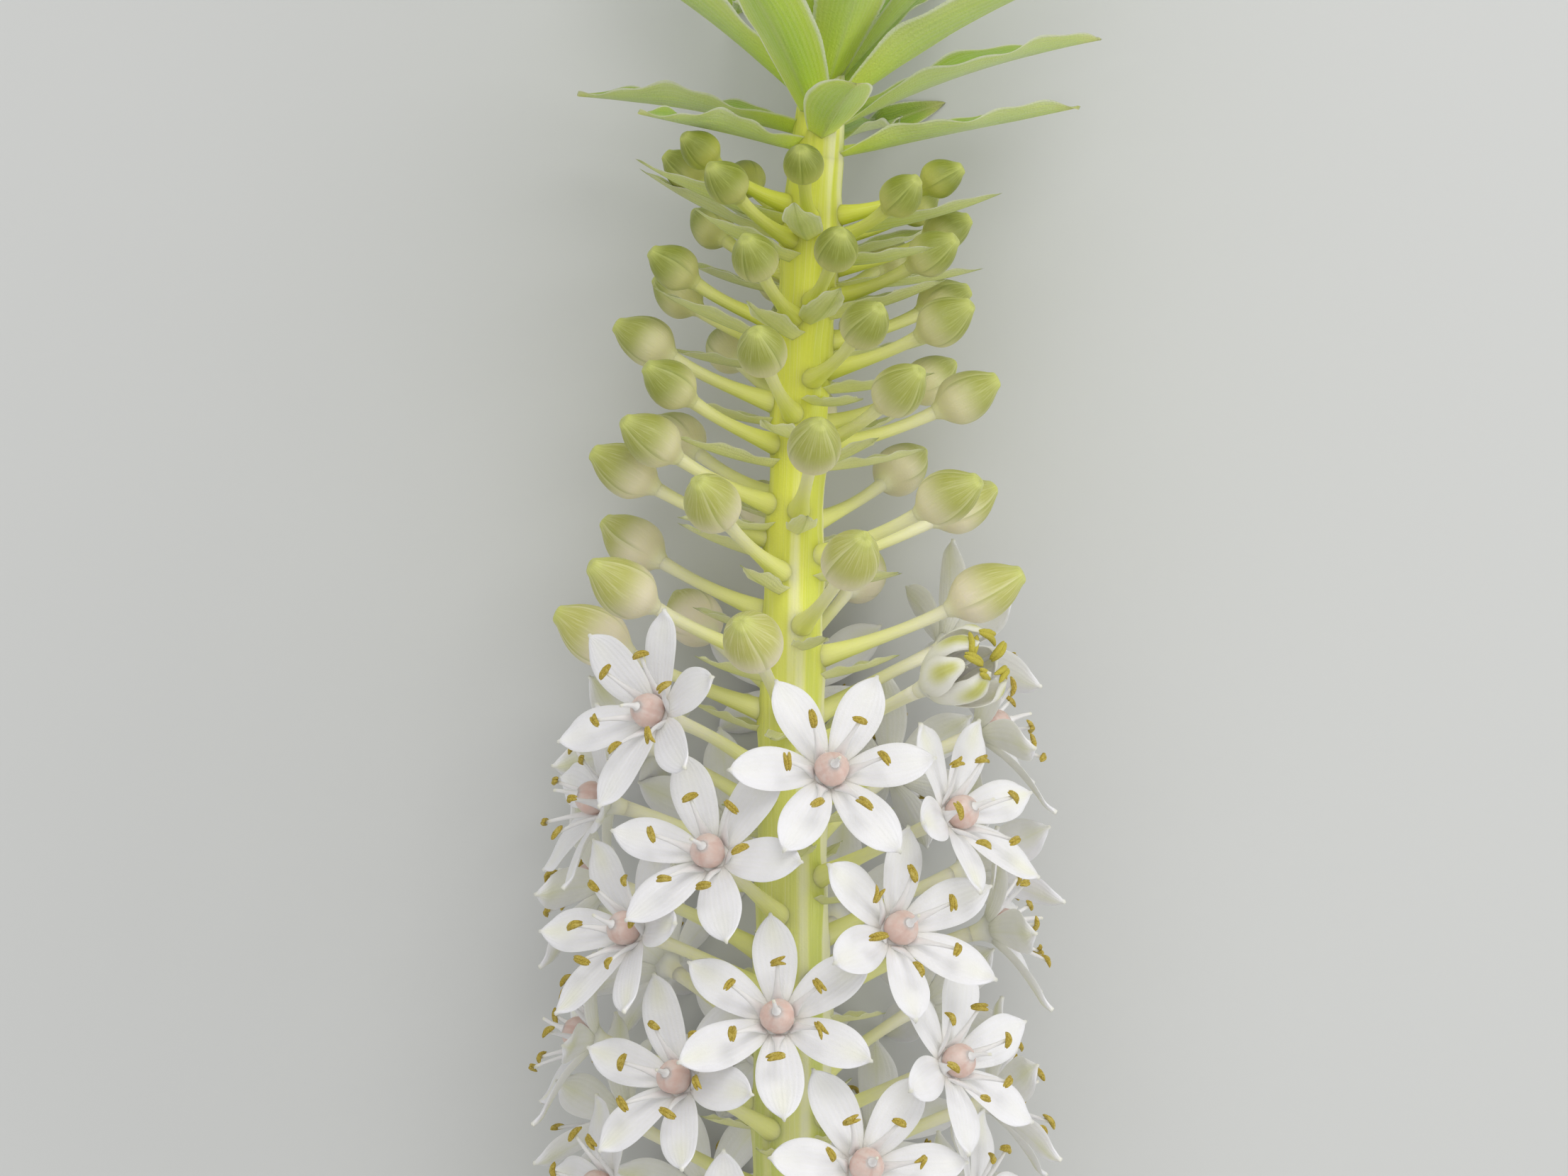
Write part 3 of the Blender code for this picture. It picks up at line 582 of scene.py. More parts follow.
def anther(skin, floret, at, angle, draw):
    """An anther across a filament's tip: two rough lobes side by side that often part at one end."""
    a = radians(angle + 90 + spread(draw, 75))
    flat = floret.up * cos(a) + floret.right * sin(a)
    long_way = (flat + floret.out * spread(draw, 0.55)).normalized()
    wide = long_way.cross(floret.out).normalized()
    top = wide.cross(long_way)
    bent = draw.uniform(*ANTHER_BENT) * ANTHER_LENGTH
    size = OPENING_ANTHER if floret.opening else draw.uniform(*ANTHER_SIZES)
    parted = [most * draw.random() ** 3 for most in ANTHER_PARTED]
    radius = ANTHER_RADIUS * size
    rows, sides = ANTHER_GRID

    def aside(lobe, x):
        """How far aside a lobe is at x, about -1 at one of its ends and 1 at the other."""
        parting = parted[0] if x < 0 else parted[1]
        return wide * lobe * (radius * (0.66 - 0.3 * x * x) + parting * abs(x) ** 1.5)

    for lobe in (-1, 1):
        rings = []
        reach = draw.uniform(0.92, 1.04)
        for i in range(1, rows):
            x = -cos(pi * i / rows) * reach
            girth = radius * sqrt(max(0, 1 - abs(x / reach) ** 2.1)) * (1 + spread(draw, 0.05))
            centre = at + long_way * x * ANTHER_LENGTH * size / 2 - top * (x * x * bent * 0.5 - 0.0002)
            centre += aside(lobe, x)
            ring = []
            for _, c, s in around(sides):
                knob = 1 + spread(draw, 0.07)
                where = centre + (wide * c + top * s * 1.15) * girth * knob
                ring.append((lift(where), (c, s, (x + 1) / 2)))
            rings.append(ring)
        ends = []
        for x in (-reach, reach):
            out_by = long_way * x * ANTHER_LENGTH * size / 2 - top * (x * x * bent * 0.5 - 0.0002)
            ends.append(lift(at + out_by + aside(lobe, x)))
        skin.tube(rings, "anther", foot=(ends[0], (0, 1, 0)), tip=(ends[1], (0, 1, 1)))


def ovary(skin, floret, draw):
    """The three-lobed ovary, and the style that stands on it."""
    rows, sides = OVARY_GRID
    size = floret.ovary
    tall = 0.5 + 0.5 * size
    rings = []
    for i in range(1, rows):
        a = pi * i / rows
        height = OVARY_MIDDLE - cos(a) * OVARY_RADIUS * 0.98
        round_it = sin(a) ** 0.92 * (1 - 0.1 * smooth(0.6, 1, i / rows))
        ring = []
        for b, c, s in around(sides):
            seam = exp(-((apart(degrees(b) * 3, 180) / 40) ** 2))
            lobed = 1 + 0.02 * cos(3 * b) - OVARY_LOBES * seam * (0.6 + 0.4 * (i / rows))
            radius = OVARY_RADIUS * round_it * lobed * size
            where = floret.place(floret.roll + 30 + degrees(b), radius, height * tall)
            ring.append((lift(where), (c, s, i / rows)))
        rings.append(ring)
    top = floret.place(0, 0, (OVARY_MIDDLE + OVARY_RADIUS * 0.93) * tall)
    skin.tube(rings, "ovary", tip=(lift(top), (1, 0, 1)))
    lean = (spread(draw, STYLE_LEAN), spread(draw, STYLE_LEAN))
    base = OVARY_MIDDLE + OVARY_RADIUS * 0.8
    rows, sides = STYLE_GRID
    rings = []
    for i in range(rows):
        t = i / (rows - 1)
        radius = between(STYLE_RADIUS, t**0.6) * (1.7 - 0.7 * smooth(0, 0.25, t))
        middle = floret.place(0, 0, base + (STYLE_TIP - base) * t)
        middle += (floret.up * lean[0] + floret.right * lean[1]) * t * t
        rings.append([(lift(p), place) for p, place in ring_round(middle, floret.out, radius, sides, t)])
    end = middle + floret.out * 0.00012
    skin.tube(rings, "filament", tip=(lift(end), (0, 0, 1)))


def bloom_cup(skin, floret):
    """The short green base that joins a bloom to its stalk."""
    rings = []
    for i, (height, radius) in enumerate(CUP_PROFILE):
        ring = []
        for b, c, s in around(CUP_RING):
            ribbed = 1 + 0.03 * cos(6 * b) * smooth(-0.0016, -0.0004, height)
            where = floret.place(floret.roll + degrees(b), radius * ribbed, height)
            ring.append((lift(where), (c, s, i / (len(CUP_PROFILE) - 1))))
        rings.append(ring)
    under = floret.place(0, 0, CUP_PROFILE[0][0] - 0.0001)
    skin.tube(rings, "cup", foot=(lift(under), (1, 0, 0)))


def flower(floret, finishes):
    """One open flower as a piece."""
    if not floret.opening:
        floret.settle()
    draw = random.Random(SEED * 5000 + floret.n)
    skin = Skin()
    skin.tint = 2 if floret.opening else draw.random()
    for j in range(PETALS):
        rings, tip = petal_rings(floret, j)
        skin.tube(rings, "petal", tip=tip)
    for j in range(PETALS):
        filament_and_anther(skin, floret, j, draw)
    ovary(skin, floret, draw)
    bloom_cup(skin, floret)
    skin.object("flower_" + floret.mark, "bloom", ["bloom_" + floret.mark], finishes)


def stem_ring(along, size, roots):
    """A ring of the stem, softly ribbed, with a swelling round each root of (place along, turn)."""
    point, tangent, across = stem_frame(along)
    above = across.cross(tangent)
    ring = []
    for a, c, s in around(CORE_SIDES):
        radius = size * (1 + 0.01 * cos(5 * a + 18 * along) + 0.005 * cos(13 * a - 25 * along))
        radius += 0.00004 * sin(300 * along + 2 * a)
        for root, turn in roots:
            round_it = radius * ((a - (pi / 2 - turn) + pi) % (2 * pi) - pi)
            rise = along - root
            stretched = rise / 2.2 if rise < 0 else rise
            radius += SWELLING * exp(-(round_it**2 + stretched**2) / SWELLING_WIDE**2)
        ring.append((point + (across * c + above * s) * radius, (c, s, (along - STEM_CUT) / STEM_LONG)))
    return ring


def rachis(florets):
    """The stem, ribbed and swollen round each stalk's root, its cut end and the stalks."""
    skin = Skin()
    top = STEM_RADII[-1][0] + 0.001
    roots = [(floret.root_along, radians(floret.turn)) for floret in florets]
    rings = []
    for i in range(RACHIS_ROWS):
        along = between((STEM_CUT, top), i / (RACHIS_ROWS - 1))
        near = [root for root in roots if abs(root[0] - along) < SWELLING_SEEN]
        rings.append(stem_ring(along, stem_radius(along), near))
    skin.tube(rings, "rachis")
    point, tangent, _ = stem_frame(STEM_CUT)
    cut = []
    for share in CUT_RINGS:
        dish = tangent * CUT_DISH * (1 - share**4) - tangent * 0.00012 * sin(pi * share)
        ring = []
        for rim, (c, s, _) in rings[0]:
            ring.append((point + (rim - point) * share + dish, (c * share, s * share, 0)))
        cut.append(ring)
    skin.tube(cut, "cut", tip=(point + tangent * CUT_DISH, (0, 0, 0)))
    for floret in florets:
        stalk(skin, floret)
    return skin


def bud_size(floret):
    thick = between(BUD_THICK, floret.up_spike)
    return thick, thick * between(BUD_SLIM, floret.up_spike)


def stalk(skin, floret):
    """A floret's stalk, from inside the stem to its flower or bud."""
    root, _, radial = outward(floret.root_along, floret.turn)
    start = root + radial * stem_radius(floret.root_along) * STALK_SEAT
    _, length = bud_size(floret)
    behind = FUNNEL_DEPTH + SEAT_GAP if floret.open else length * 0.4
    end = floret.centre - floret.out * behind
    bend = end - floret.out * (end - start).length * STALK_BOW
    skin.tint = 1 if floret.open else floret.up_spike
    rings = []
    for i in range(STALK_ROWS):
        t = i / (STALK_ROWS - 1)
        point, heading = curve_point(start, bend, end, t)
        size = 1 + 0.85 * (1 - t) ** 4 + (STALK_FOOT - 1) * (1 - t) + 0.06 * t**3 + 0.14 * t**10
        size = STALK_RADIUS * (size - STALK_WAIST * sin(pi * t))
        rings.append(ring_round(point, heading, size, STALK_RING, t))
    skin.tube(rings, "stalk", tip=(end + floret.out * 0.0002, (1, 0, 1)))


def through(points, at):
    """The smooth curve through (place, value) points."""
    last = len(points) - 1
    i = next((k for k in range(last) if at <= points[k + 1][0]), last - 1)
    (x0, y0), (x1, y1), (x2, y2), (x3, y3) = (points[min(max(k, 0), last)] for k in range(i - 1, i + 3))
    t = (at - x1) / (x2 - x1)
    leaving = (y2 - y0) / (x2 - x0) * (x2 - x1)
    coming = (y3 - y1) / (x3 - x1) * (x2 - x1)
    turn = y1 * (2 * t**3 - 3 * t**2 + 1) + y2 * (3 * t**2 - 2 * t**3)
    return turn + leaving * (t**3 - 2 * t**2 + t) + coming * (t**3 - t**2)


def bud(skin, floret):
    """A bud: a neck, three outer petals that lap a little, and a small blunt notched tip."""
    draw = random.Random(SEED * 7000 + floret.n)
    thick, length = bud_size(floret)
    turned = draw.uniform(0, 2 * pi)
    aside = (floret.up * spread(draw, 1) + floret.right * spread(draw, 1)) * thick * 0.06
    skin.tint = floret.up_spike
    first = floret.out.cross(SLANTED).normalized()
    second = floret.out.cross(first).normalized()
    rings = []
    for i in range(BUD_ROWS):
        at = (1 - cos(pi * (i + 0.3) / BUD_ROWS)) / 2
        body = thick / 2 * through(BUD_PROFILE, at)
        neck = STALK_RADIUS * (0.8 + 0.38 * smooth(0, 0.07, at)) * (1 - smooth(0.02, 0.4, at))
        radius = (body**4 + neck**4) ** 0.25
        lap = BUD_LAP * smooth(0.12, 0.35, at) * (1 + 2.5 * smooth(0.82, 0.95, at))
        middle = floret.centre + floret.out * (BUD_FROM + (0.5 - BUD_FROM) * at) * length
        middle += aside * smooth(0.55, 1, at)
        ring = []
        for b, c, s in around(BUD_RING):
            phase = (3 * b / (2 * pi)) % 1
            lapped = phase - smooth(0.84, 1, phase)
            notched = 0.1 * cos(3 * b + 1) * smooth(0.9, 1, at)
            size = radius * (1 + lap * (lapped - 0.42) + notched)
            a = b + turned
            ring.append((middle + (first * cos(a) + second * sin(a)) * size, (c, s, at)))
        rings.append(ring)
    foot = floret.centre + floret.out * BUD_FROM * length
    end = floret.centre + floret.out * length * 0.497 + aside
    skin.tube(rings, "bud", foot=(foot, (1, 0, 0)), tip=(end, (1, 0, 1)))


def leaf_spine(root, tangent, radial, length, rise, droop, steps):
    """Points along a leaf's midrib. Where it would go under the surface, it bends to lie along it."""
    points = [Vector(root)]
    step = length / steps
    for i in range(steps):
        slope = radians(rise + droop * (0.5 - (i + 0.5) / steps))
        move = (radial * cos(slope) + tangent * sin(slope)) * step
        room = points[-1].z - PRESSED
        if -move.z > room:
            along = Vector((move.x, move.y, 0)).normalized() * sqrt(max(0, step**2 - room**2))
            move = along - Vector((0, 0, room))
        points.append(points[-1] + move)
    return points


def toothed(draw, rows, depth):
    """How far each row's edge stands in or out: small uneven teeth that point along the leaf."""
    cuts = []
    for i in range(rows + 1):
        if i % 2 == 0:
            size = depth * draw.uniform(0.1, 1)
        cuts.append(1 + size * (0.5 - i % 2))
    return cuts


def blade(skin, finish, spine, across, half_width, neck, wave, draw, rugged=1):
    """A channelled leaf along a spine: thick at its midrib and thin at its toothed, wavy edges."""
    rows = len(spine) - 1
    depth, thickest, rim, sharp = BLADES[finish]
    left, right = (toothed(draw, rows, depth * rugged) for _ in range(2))
    phase = draw.uniform(0, 6.3)
    rings = []
    for i in range(rows):
        share = i / rows
        middle = spine[i]
        forward = (spine[i + 1] - spine[max(i - 1, 0)]).normalized()
        side = SKY.cross(forward) if middle.z < PRESSED * 1.01 else across
        normal = forward.cross(side).normalized()
        side = normal.cross(forward)
        width = half_width * blade_width(share, neck, LEAF_WIDEST, 1, sharp)
        thick = thickest * (1 - LEAF_THINNING * share) / 2 * min(1, 0.25 + width / half_width)
        ripple = wave * rugged * sin(between(WAVE_ANGLES, share))
        frill = wave * rugged * 0.45 * sin(31 * share + phase) * smooth(0.1, 0.4, share)
        ring = []
        for _, s, bulge in around(2 * LEAF_SEGMENTS):
            reach = width * s * (left[i] if s > 0 else right[i])
            fold = LEAF_FOLD * width * abs(s) ** 1.35
            curl = ripple * s + frill * s * s * abs(s)
            body = rim / 2 + (thick - rim / 2) * (1 - abs(s) ** 1.2)
            keel = 0.25 * thick * exp(-((s / 0.18) ** 2))
            off = bulge * body - (keel if bulge < 0 else 0.6 * keel)
            where = lift(middle + side * reach + normal * (fold + curl + off))
            ring.append((where, (s, share, 1 if bulge > 0 else 0)))
        rings.append(ring)
    skin.tube(rings, finish, foot=(spine[0], (0, 0, 0.5)), tip=(lift(spine[-1]), (0, 1, 0.5)))


def bract(skin, floret):
    """The small leaf under a floret's stalk, longer towards the crown and withered lowest down."""
    draw = random.Random(SEED * 3000 + floret.n)
    share = (floret.n / (FLORETS - 1)) ** BRACT_POWER
    rise = BRACT_RISE + spread(draw, BRACT_RISE_SPREAD)
    rise -= FRONT_BRACTS_LOWER * max(0, cos(radians(floret.turn))) ** 3
    along = floret.root_along - BRACT_BELOW
    root, tangent, radial = outward(along, floret.turn)
    start = root + radial * stem_radius(along) * BRACT_SEAT
    length = between(BRACT_LENGTH, share)
    width = between(BRACT_HALF_WIDTH, share)
    if floret.n < FIRST_BRACT:
        length = WITHERED_BRACT
        width *= 0.7
    spine = leaf_spine(start, tangent, radial, length, rise, BRACT_DROOP, BRACT_ROWS)
    skin.tint = share
    blade(skin, "bract", spine, tangent.cross(radial), width, BRACT_ROOT, BRACT_WAVE, draw)


def crown_leaf(skin, m):
    """One leaf of the crown."""
    draw = random.Random(SEED * 1000 + 500 + m)
    share = m / (CROWN_LEAVES - 1)
    along = CROWN_START + CROWN_FIRST + CROWN_STEP * m
    n = FLORETS + m
    drawn = (spread(draw, CROWN_RISE_SPREAD), spread(draw, CROWN_TURN_SPREAD), 1)
    raised, turned, shortened = OFF_CROWN.get(m, drawn)
    turn = CROWN_TURN + FIRST_TURN - GOLDEN_ANGLE * n + DRIFT * (n - DRIFT_FROM) + turned
    root, tangent, radial = outward(along, turn)
    rise = between(CROWN_RISE, share**CROWN_RISE_POWER) + raised
    length = arched(CROWN_LENGTH, share) * draw.uniform(*CROWN_SCALES) * shortened
    width = arched(CROWN_HALF_WIDTH, share)
    droop = arched(CROWN_DROOP, share)
    spine = leaf_spine(root + radial * CROWN_SEAT, tangent, radial, length, rise, droop, LEAF_ROWS)
    skin.tint = 1 if m in SMOOTH_LEAVES else share
    rugged = SMOOTH_LEAVES.get(m, 1)
    blade(skin, "leaf", spine, tangent.cross(radial), width, LEAF_ROOT, LEAF_WAVE, draw, rugged)


def crown():
    """The leaves of the crown, and the growing tip that they spring from."""
    skin = Skin()
    rings = [stem_ring(CROWN_START + above, radius, []) for above, radius in CROWN_CORE]
    point, tangent, _ = stem_frame(CROWN_START + CROWN_CORE[-1][0])
    skin.tube(rings, "rachis", tip=(point + tangent * 0.0003, (1, 0, 1)))
    for m in range(CROWN_LEAVES):
        crown_leaf(skin, m)
    return skin


class Paint:
    """One material, whose colour, roughness and bump come from nodes."""

    def __init__(self, name, roughness, subsurface, radius, sheen=0, coat=0):
        self.material = bpy.data.materials.new(name)
        self.material.use_nodes = True
        self.tree = self.material.node_tree
        self.shader = self.tree.nodes["Principled BSDF"]
        for socket, value in {
            "Roughness": roughness, "Subsurface Weight": subsurface, "Subsurface Radius": radius,
            "Subsurface Scale": 1, "Sheen Weight": sheen, "Sheen Roughness": 0.4,
            "Coat Weight": coat, "Coat Roughness": 0.35,
        }.items():
            self.shader.inputs[socket].default_value = value
        self.place = self.node("Attribute", {}, "Vector", attribute_name="place")
        self.x, self.y, self.z = self.node("SeparateXYZ", {0: self.place}).node.outputs
        self.tint = self.node("Attribute", {}, "Fac", attribute_name="tint")
        self.object = self.node("TexCoord", {}, "Object")
        self.colour = None

    def put(self, value, socket):
        """Gives a socket a number, a colour, an output, or the ramp of a tuple that starts with an output."""
        if isinstance(value, tuple) and isinstance(value[0], bpy.types.NodeSocket):
            value = self.ramp(*value)
        if isinstance(value, bpy.types.NodeSocket):
            self.tree.links.new(value, socket)
        elif socket.type == "RGBA":
            socket.default_value = (*value, 1)
        else:
            socket.default_value = value

    def node(self, kind, inputs, output=0, **settings):
        """One output of a new node of this kind, given its inputs and settings."""
        made = self.tree.nodes.new("ShaderNode" + kind)
        for name, value in settings.items():
            setattr(made, name, value)
        for socket, value in inputs.items():
            self.put(value, made.inputs[socket])
        return made.outputs[output]

    def math(self, operation, *values):
        return self.node("Math", dict(enumerate(values)), operation=operation)

    def times(self, first, second):
        return self.math("MULTIPLY", first, second)

    def ramp(self, *values):
        """From (value, low, high, start, end): start below low, end above high, and smooth between."""
        return self.node("MapRange", dict(enumerate(values)), interpolation_type="SMOOTHSTEP")

    def mix(self, share, first, second):
        return self.node("Mix", {0: share, 6: first, 7: second}, 2, data_type="RGBA")

    def over(self, share, colour):
        """Lays a colour over the one that is there."""
        self.colour = self.mix(share, self.colour, colour)

    def noise(self, vector, scale, detail=3, rough=0.55):
        inputs = {"Vector": vector, "Scale": scale, "Detail": detail, "Roughness": rough}
        return self.node("TexNoise", inputs, "Fac")

    def mottle(self, scale, *levels):
        """Blotches, from (low, high, start, end)."""
        return self.ramp(self.noise(self.object, scale), *levels)

    def streaks(self, stretch, scale, detail=3, rough=0.55):
        """Noise that follows the piece's own places, drawn out along some of them."""
        vector = self.node("VectorMath", {0: self.place, 1: stretch}, operation="MULTIPLY")
        return self.noise(vector, scale, detail, rough)

    def cells(self, scale, vector=None):
        return self.node("TexVoronoi", {"Vector": vector or self.object, "Scale": scale}, "Distance")

    def stripes(self, count, sharp=2):
        """Soft lengthwise lines on a blade, which run together at its tip: 1 on a line."""
        uneven = self.math("MULTIPLY_ADD", self.streaks((2.5, 1.2, 0), 2), 0.22, self.x)
        wave = self.math("COSINE", self.times(uneven, count * pi))
        return self.math("POWER", self.math("MULTIPLY_ADD", wave, 0.5, 0.5), sharp)

    def centre_line(self, width, full=0):
        """1 along a blade's middle as far off as full, and 0 further off than width."""
        return self.ramp(self.math("ABSOLUTE", self.x), full, width, 1, 0)

    def done(self, rough, *bumps):
        """The material, with its colour, its roughness if that varies, and bumps of (height, distance)."""
        self.put(self.colour, self.shader.inputs["Base Color"])
        if rough is not None:
            self.put(rough, self.shader.inputs["Roughness"])
        normal = {}
        for height, distance in bumps:
            inputs = {"Strength": 1, "Distance": distance, "Height": height, **normal}
            normal = {"Normal": self.node("Bump", inputs)}
        self.put(normal["Normal"], self.shader.inputs["Normal"])
        return self.material


def petal_finish():
    paint = Paint("petal", 0.48, 0.3, (0.0018, 0.0017, 0.0016), sheen=0.1)
    paint.colour = paint.mix(paint.mottle(300, 0.35, 0.7), (0.845, 0.838, 0.88), (0.808, 0.802, 0.832))
    veins = paint.times(paint.stripes(8), (paint.y, 0.95, 0.4, 0, 0.22))
    paint.over(veins, (0.8, 0.8, 0.76))
    paint.over((paint.y, 0.3, 0, 0, 0.4), (0.84, 0.83, 0.64))
    paint.over((paint.tint, 1, 2, 0, 0.6), (0.83, 0.81, 0.63))
    flush = paint.times((paint.y, 0.45, 0.8), (paint.y, 0.99, 0.9))
    inside = paint.times(paint.centre_line(0.85), flush)
    inside = paint.times(inside, paint.math("MULTIPLY_ADD", paint.tint, 0.35, 0.12))
    paint.over(inside, (0.8, 0.8, 0.52))
    outside = paint.times((paint.tint, 1, 2, 0.2, 1), (paint.z, 0.5, 0.1))
    outside = paint.times(paint.times(paint.centre_line(0.85, 0.1), flush), outside)
    paint.over(outside, paint.mix((paint.tint, 1, 2), (0.6, 0.63, 0.24), (0.54, 0.54, 0.15)))
    keel = paint.times(paint.centre_line(0.14), (paint.z, 0.5, 0.1, 0, 0.14))
    paint.over(keel, (0.68, 0.7, 0.36))
    paint.over((paint.y, 0.93, 1, 0, 0.7), (0.84, 0.83, 0.64))
    bumps = (paint.stripes(8, 1), 0.00002), (paint.cells(5200), 0.00002)
    return paint.done(paint.mottle(1600, 0.3, 0.7, 0.42, 0.56), *bumps)


def ovary_finish():
    paint = Paint("ovary", 0.44, 0.45, (0.0022, 0.0014, 0.0012), coat=0.05)
    # A deeper pink, used for the ovary's own blotches and seams and for painted shade at its base.
    deep_pink_and_shade = (0.62, 0.42, 0.36)
    paint.colour = paint.mix(paint.mottle(600, 0.35, 0.65), (0.66, 0.49, 0.43), (0.7, 0.57, 0.52))
    blotched = paint.mottle(1100, 0.5, 0.72, 0, 0.5)
    paint.over(blotched, deep_pink_and_shade)
    lobes = paint.math("COSINE", paint.times(paint.math("ARCTAN2", paint.y, paint.x), 3))
    paint.over((lobes, -0.8, -1, 0, 0.45), deep_pink_and_shade)
    # Painted highlight: the top of the ovary is paler, as where the light falls on it.
    paint.over((paint.z, 0.84, 1, 0, 0.8), (0.82, 0.77, 0.74))
    # Painted shade: the ovary's lowest part, down among the filaments' roots, is darker.
    paint.over((paint.z, 0.3, 0, 0, 0.5), deep_pink_and_shade)
    return paint.done((blotched, 0, 0.6, 0.4, 0.5), (paint.noise(paint.object, 2600), 0.00005))


def filament_finish():
    paint = Paint("filament", 0.45, 0.08, (0.001, 0.001, 0.0009))
    mottled = paint.mottle(900, 0.3, 0.7, 0, 0.5)
    paint.colour = paint.mix(mottled, (0.9, 0.89, 0.885), (0.86, 0.85, 0.83))
    paint.over((paint.z, 0.86, 1, 0, 0.5), (0.82, 0.8, 0.55))
    return paint.done((mottled, 0, 0.5, 0.4, 0.5), (paint.streaks((6, 6, 1.5), 3), 0.00004))


def anther_finish():
    """Mustard yellow and mealy with pollen. A tint over 1 is the bright yellow of a new anther."""
    paint = Paint("anther", 0.75, 0.1, (0.0005, 0.0004, 0.0001))
    grains = paint.noise(paint.object, 5200, 4, 0.7)
    paint.colour = paint.mix((grains, 0.36, 0.62), (0.4, 0.285, 0.03), (0.62, 0.48, 0.08))
    paint.over(paint.mottle(1500, 0.48, 0.72, 0, 0.7), (0.7, 0.58, 0.17))
    paint.over(paint.mottle(1100, 0.42, 0.28, 0, 0.4), (0.34, 0.24, 0.035))
    paint.over((paint.tint, 1, 2, 0, 0.85), (0.58, 0.52, 0.065))
    return paint.done((grains, 0.36, 0.62, 0.82, 0.64), (grains, 0.00014), (paint.cells(9000), 0.00007))


def cup_finish():
    paint = Paint("cup", 0.46, 0.3, (0.0016, 0.0015, 0.001))
    paint.colour = paint.mix((paint.z, 0.2, 0.6), (0.88, 0.85, 0.64), (0.86, 0.85, 0.81))
    mottled = paint.mottle(800, 0.35, 0.7, 0, 0.3)
    paint.over(mottled, (0.82, 0.81, 0.62))
    return paint.done((mottled, 0, 0.3, 0.42, 0.5), (paint.noise(paint.object, 2200), 0.00004))


def rachis_finish():
    paint = Paint("rachis", 0.42, 0.4, (0.003, 0.0032, 0.0008), coat=0.05)
    high = paint.ramp(paint.z, 0.52, 0.9)
    pale = paint.mix(high, (0.9, 0.9, 0.64), (0.93, 0.92, 0.48))
    dark = paint.mix(high, (0.62, 0.69, 0.16), (0.66, 0.71, 0.055))
    bands = paint.streaks((1.2, 1.2, 2.2), 1.6, 2, 0.4)
    # Painted light: the stem's own pale bands are made paler and wider on its +x side, where the light from
    # the right falls.
    bands_and_lit_side = paint.math("MULTIPLY_ADD", paint.x, 0.2, bands)
    paint.colour = paint.mix(high, (0.79, 0.81, 0.31), (0.8, 0.83, 0.09))
    paint.over((bands_and_lit_side, 0.5, 0.66, 0, 0.9), pale)
    paint.over((bands, 0.48, 0.34, 0, 0.75), dark)
    paint.over((paint.streaks((10, 10, 4), 2), 0.5, 0.75, 0, 0.3), pale)
    paint.over((paint.z, 0.3, 0, 0, 0.6), (0.46, 0.58, 0.15))
    rough = paint.mottle(700, 0.3, 0.7, 0.36, 0.5)
    return paint.done(rough, (paint.streaks((5, 5, 3), 2), 0.00012), (paint.cells(3600), 0.00002))


def cut_finish():
    """The cut end: a pale wet pith with a ring of darker strands under the green rind."""
    paint = Paint("cut", 0.3, 0.4, (0.0024, 0.0024, 0.0012), coat=0.3)
    squares = (paint.math("POWER", axis, 2) for axis in (paint.x, paint.y))
    away = paint.math("SQRT", paint.math("ADD", *squares))
    dots = paint.ramp(paint.cells(7, paint.place), 0.34, 0.16)
    paint.colour = paint.mix(paint.times(dots, 0.8), (0.8, 0.83, 0.6), (0.54, 0.62, 0.24))
    paint.over((away, 0.86, 0.96), (0.54, 0.62, 0.16))
    return paint.done(None, (dots, 0.0001), (paint.noise(paint.object, 1800), 0.0001))


def stalk_finish():
    paint = Paint("stalk", 0.42, 0.4, (0.0022, 0.0024, 0.0006), coat=0.04)
    low = paint.mix(paint.tint, (0.77, 0.8, 0.11), (0.84, 0.85, 0.34))
    paint.colour = paint.mix((paint.z, 0.2, 0.95), low, paint.mix(paint.tint, *NECK_COLOURS))
    lines = paint.streaks((2.2, 2.2, 0.8), 2)
    lined = paint.times((lines, 0.5, 0.7, 0, 0.5), (paint.z, 0.95, 0.55))
    paint.over(lined, (0.86, 0.86, 0.34))
    return paint.done((lines, 0.35, 0.65, 0.37, 0.48), (paint.streaks((4, 4, 1.5), 2), 0.00006))


def bud_finish():
    paint = Paint("bud", 0.46, 0.4, (0.0024, 0.0026, 0.001), sheen=0.06)
    turn = paint.math("ARCTAN2", paint.y, paint.x)
    phase = paint.math("FRACT", paint.times(turn, 3 / (2 * pi)))
    ripe = paint.math("POWER", paint.tint, 1.8)
    edge = paint.mix(ripe, (0.45, 0.49, 0.12), (0.84, 0.8, 0.55))
    streaks = paint.streaks((6, 6, 1.3), 2)
    # The buds' green is their own and darker towards the crown. It is also darkened throughout as painted
    # shade, as on the side turned away from the light.
    paint.colour = paint.mix(ripe, (0.225, 0.265, 0.025), (0.5, 0.495, 0.13))
    paint.over((streaks, 0.42, 0.7, 0, 0.36), edge)
    foot = paint.ramp(paint.math("MULTIPLY_ADD", streaks, 0.22, paint.z), 0.82, 0.36, 0, 0.95)
    paint.over(foot, paint.mix(paint.tint, (0.54, 0.55, 0.13), (0.9, 0.81, 0.69)))
    paint.over((paint.z, 0.2, 0.04), paint.mix(paint.tint, *NECK_COLOURS))
    seen = paint.ramp(paint.z, 0.12, 0.45)
    shadow = paint.times((phase, 0.09, 0, 0, 0.45), seen)
    paint.over(shadow, paint.mix(ripe, (0.15, 0.2, 0.018), (0.4, 0.43, 0.1)))
    paint.over(paint.times((phase, 0.9, 0.97, 0, 0.4), seen), edge)
    paint.over((paint.z, 0.8, 1, 0, 0.6), (0.58, 0.62, 0.19))
    rough = paint.mottle(1200, 0.3, 0.7, 0.4, 0.54)
    return paint.done(rough, (streaks, 0.00006), (paint.cells(4200), 0.00002))


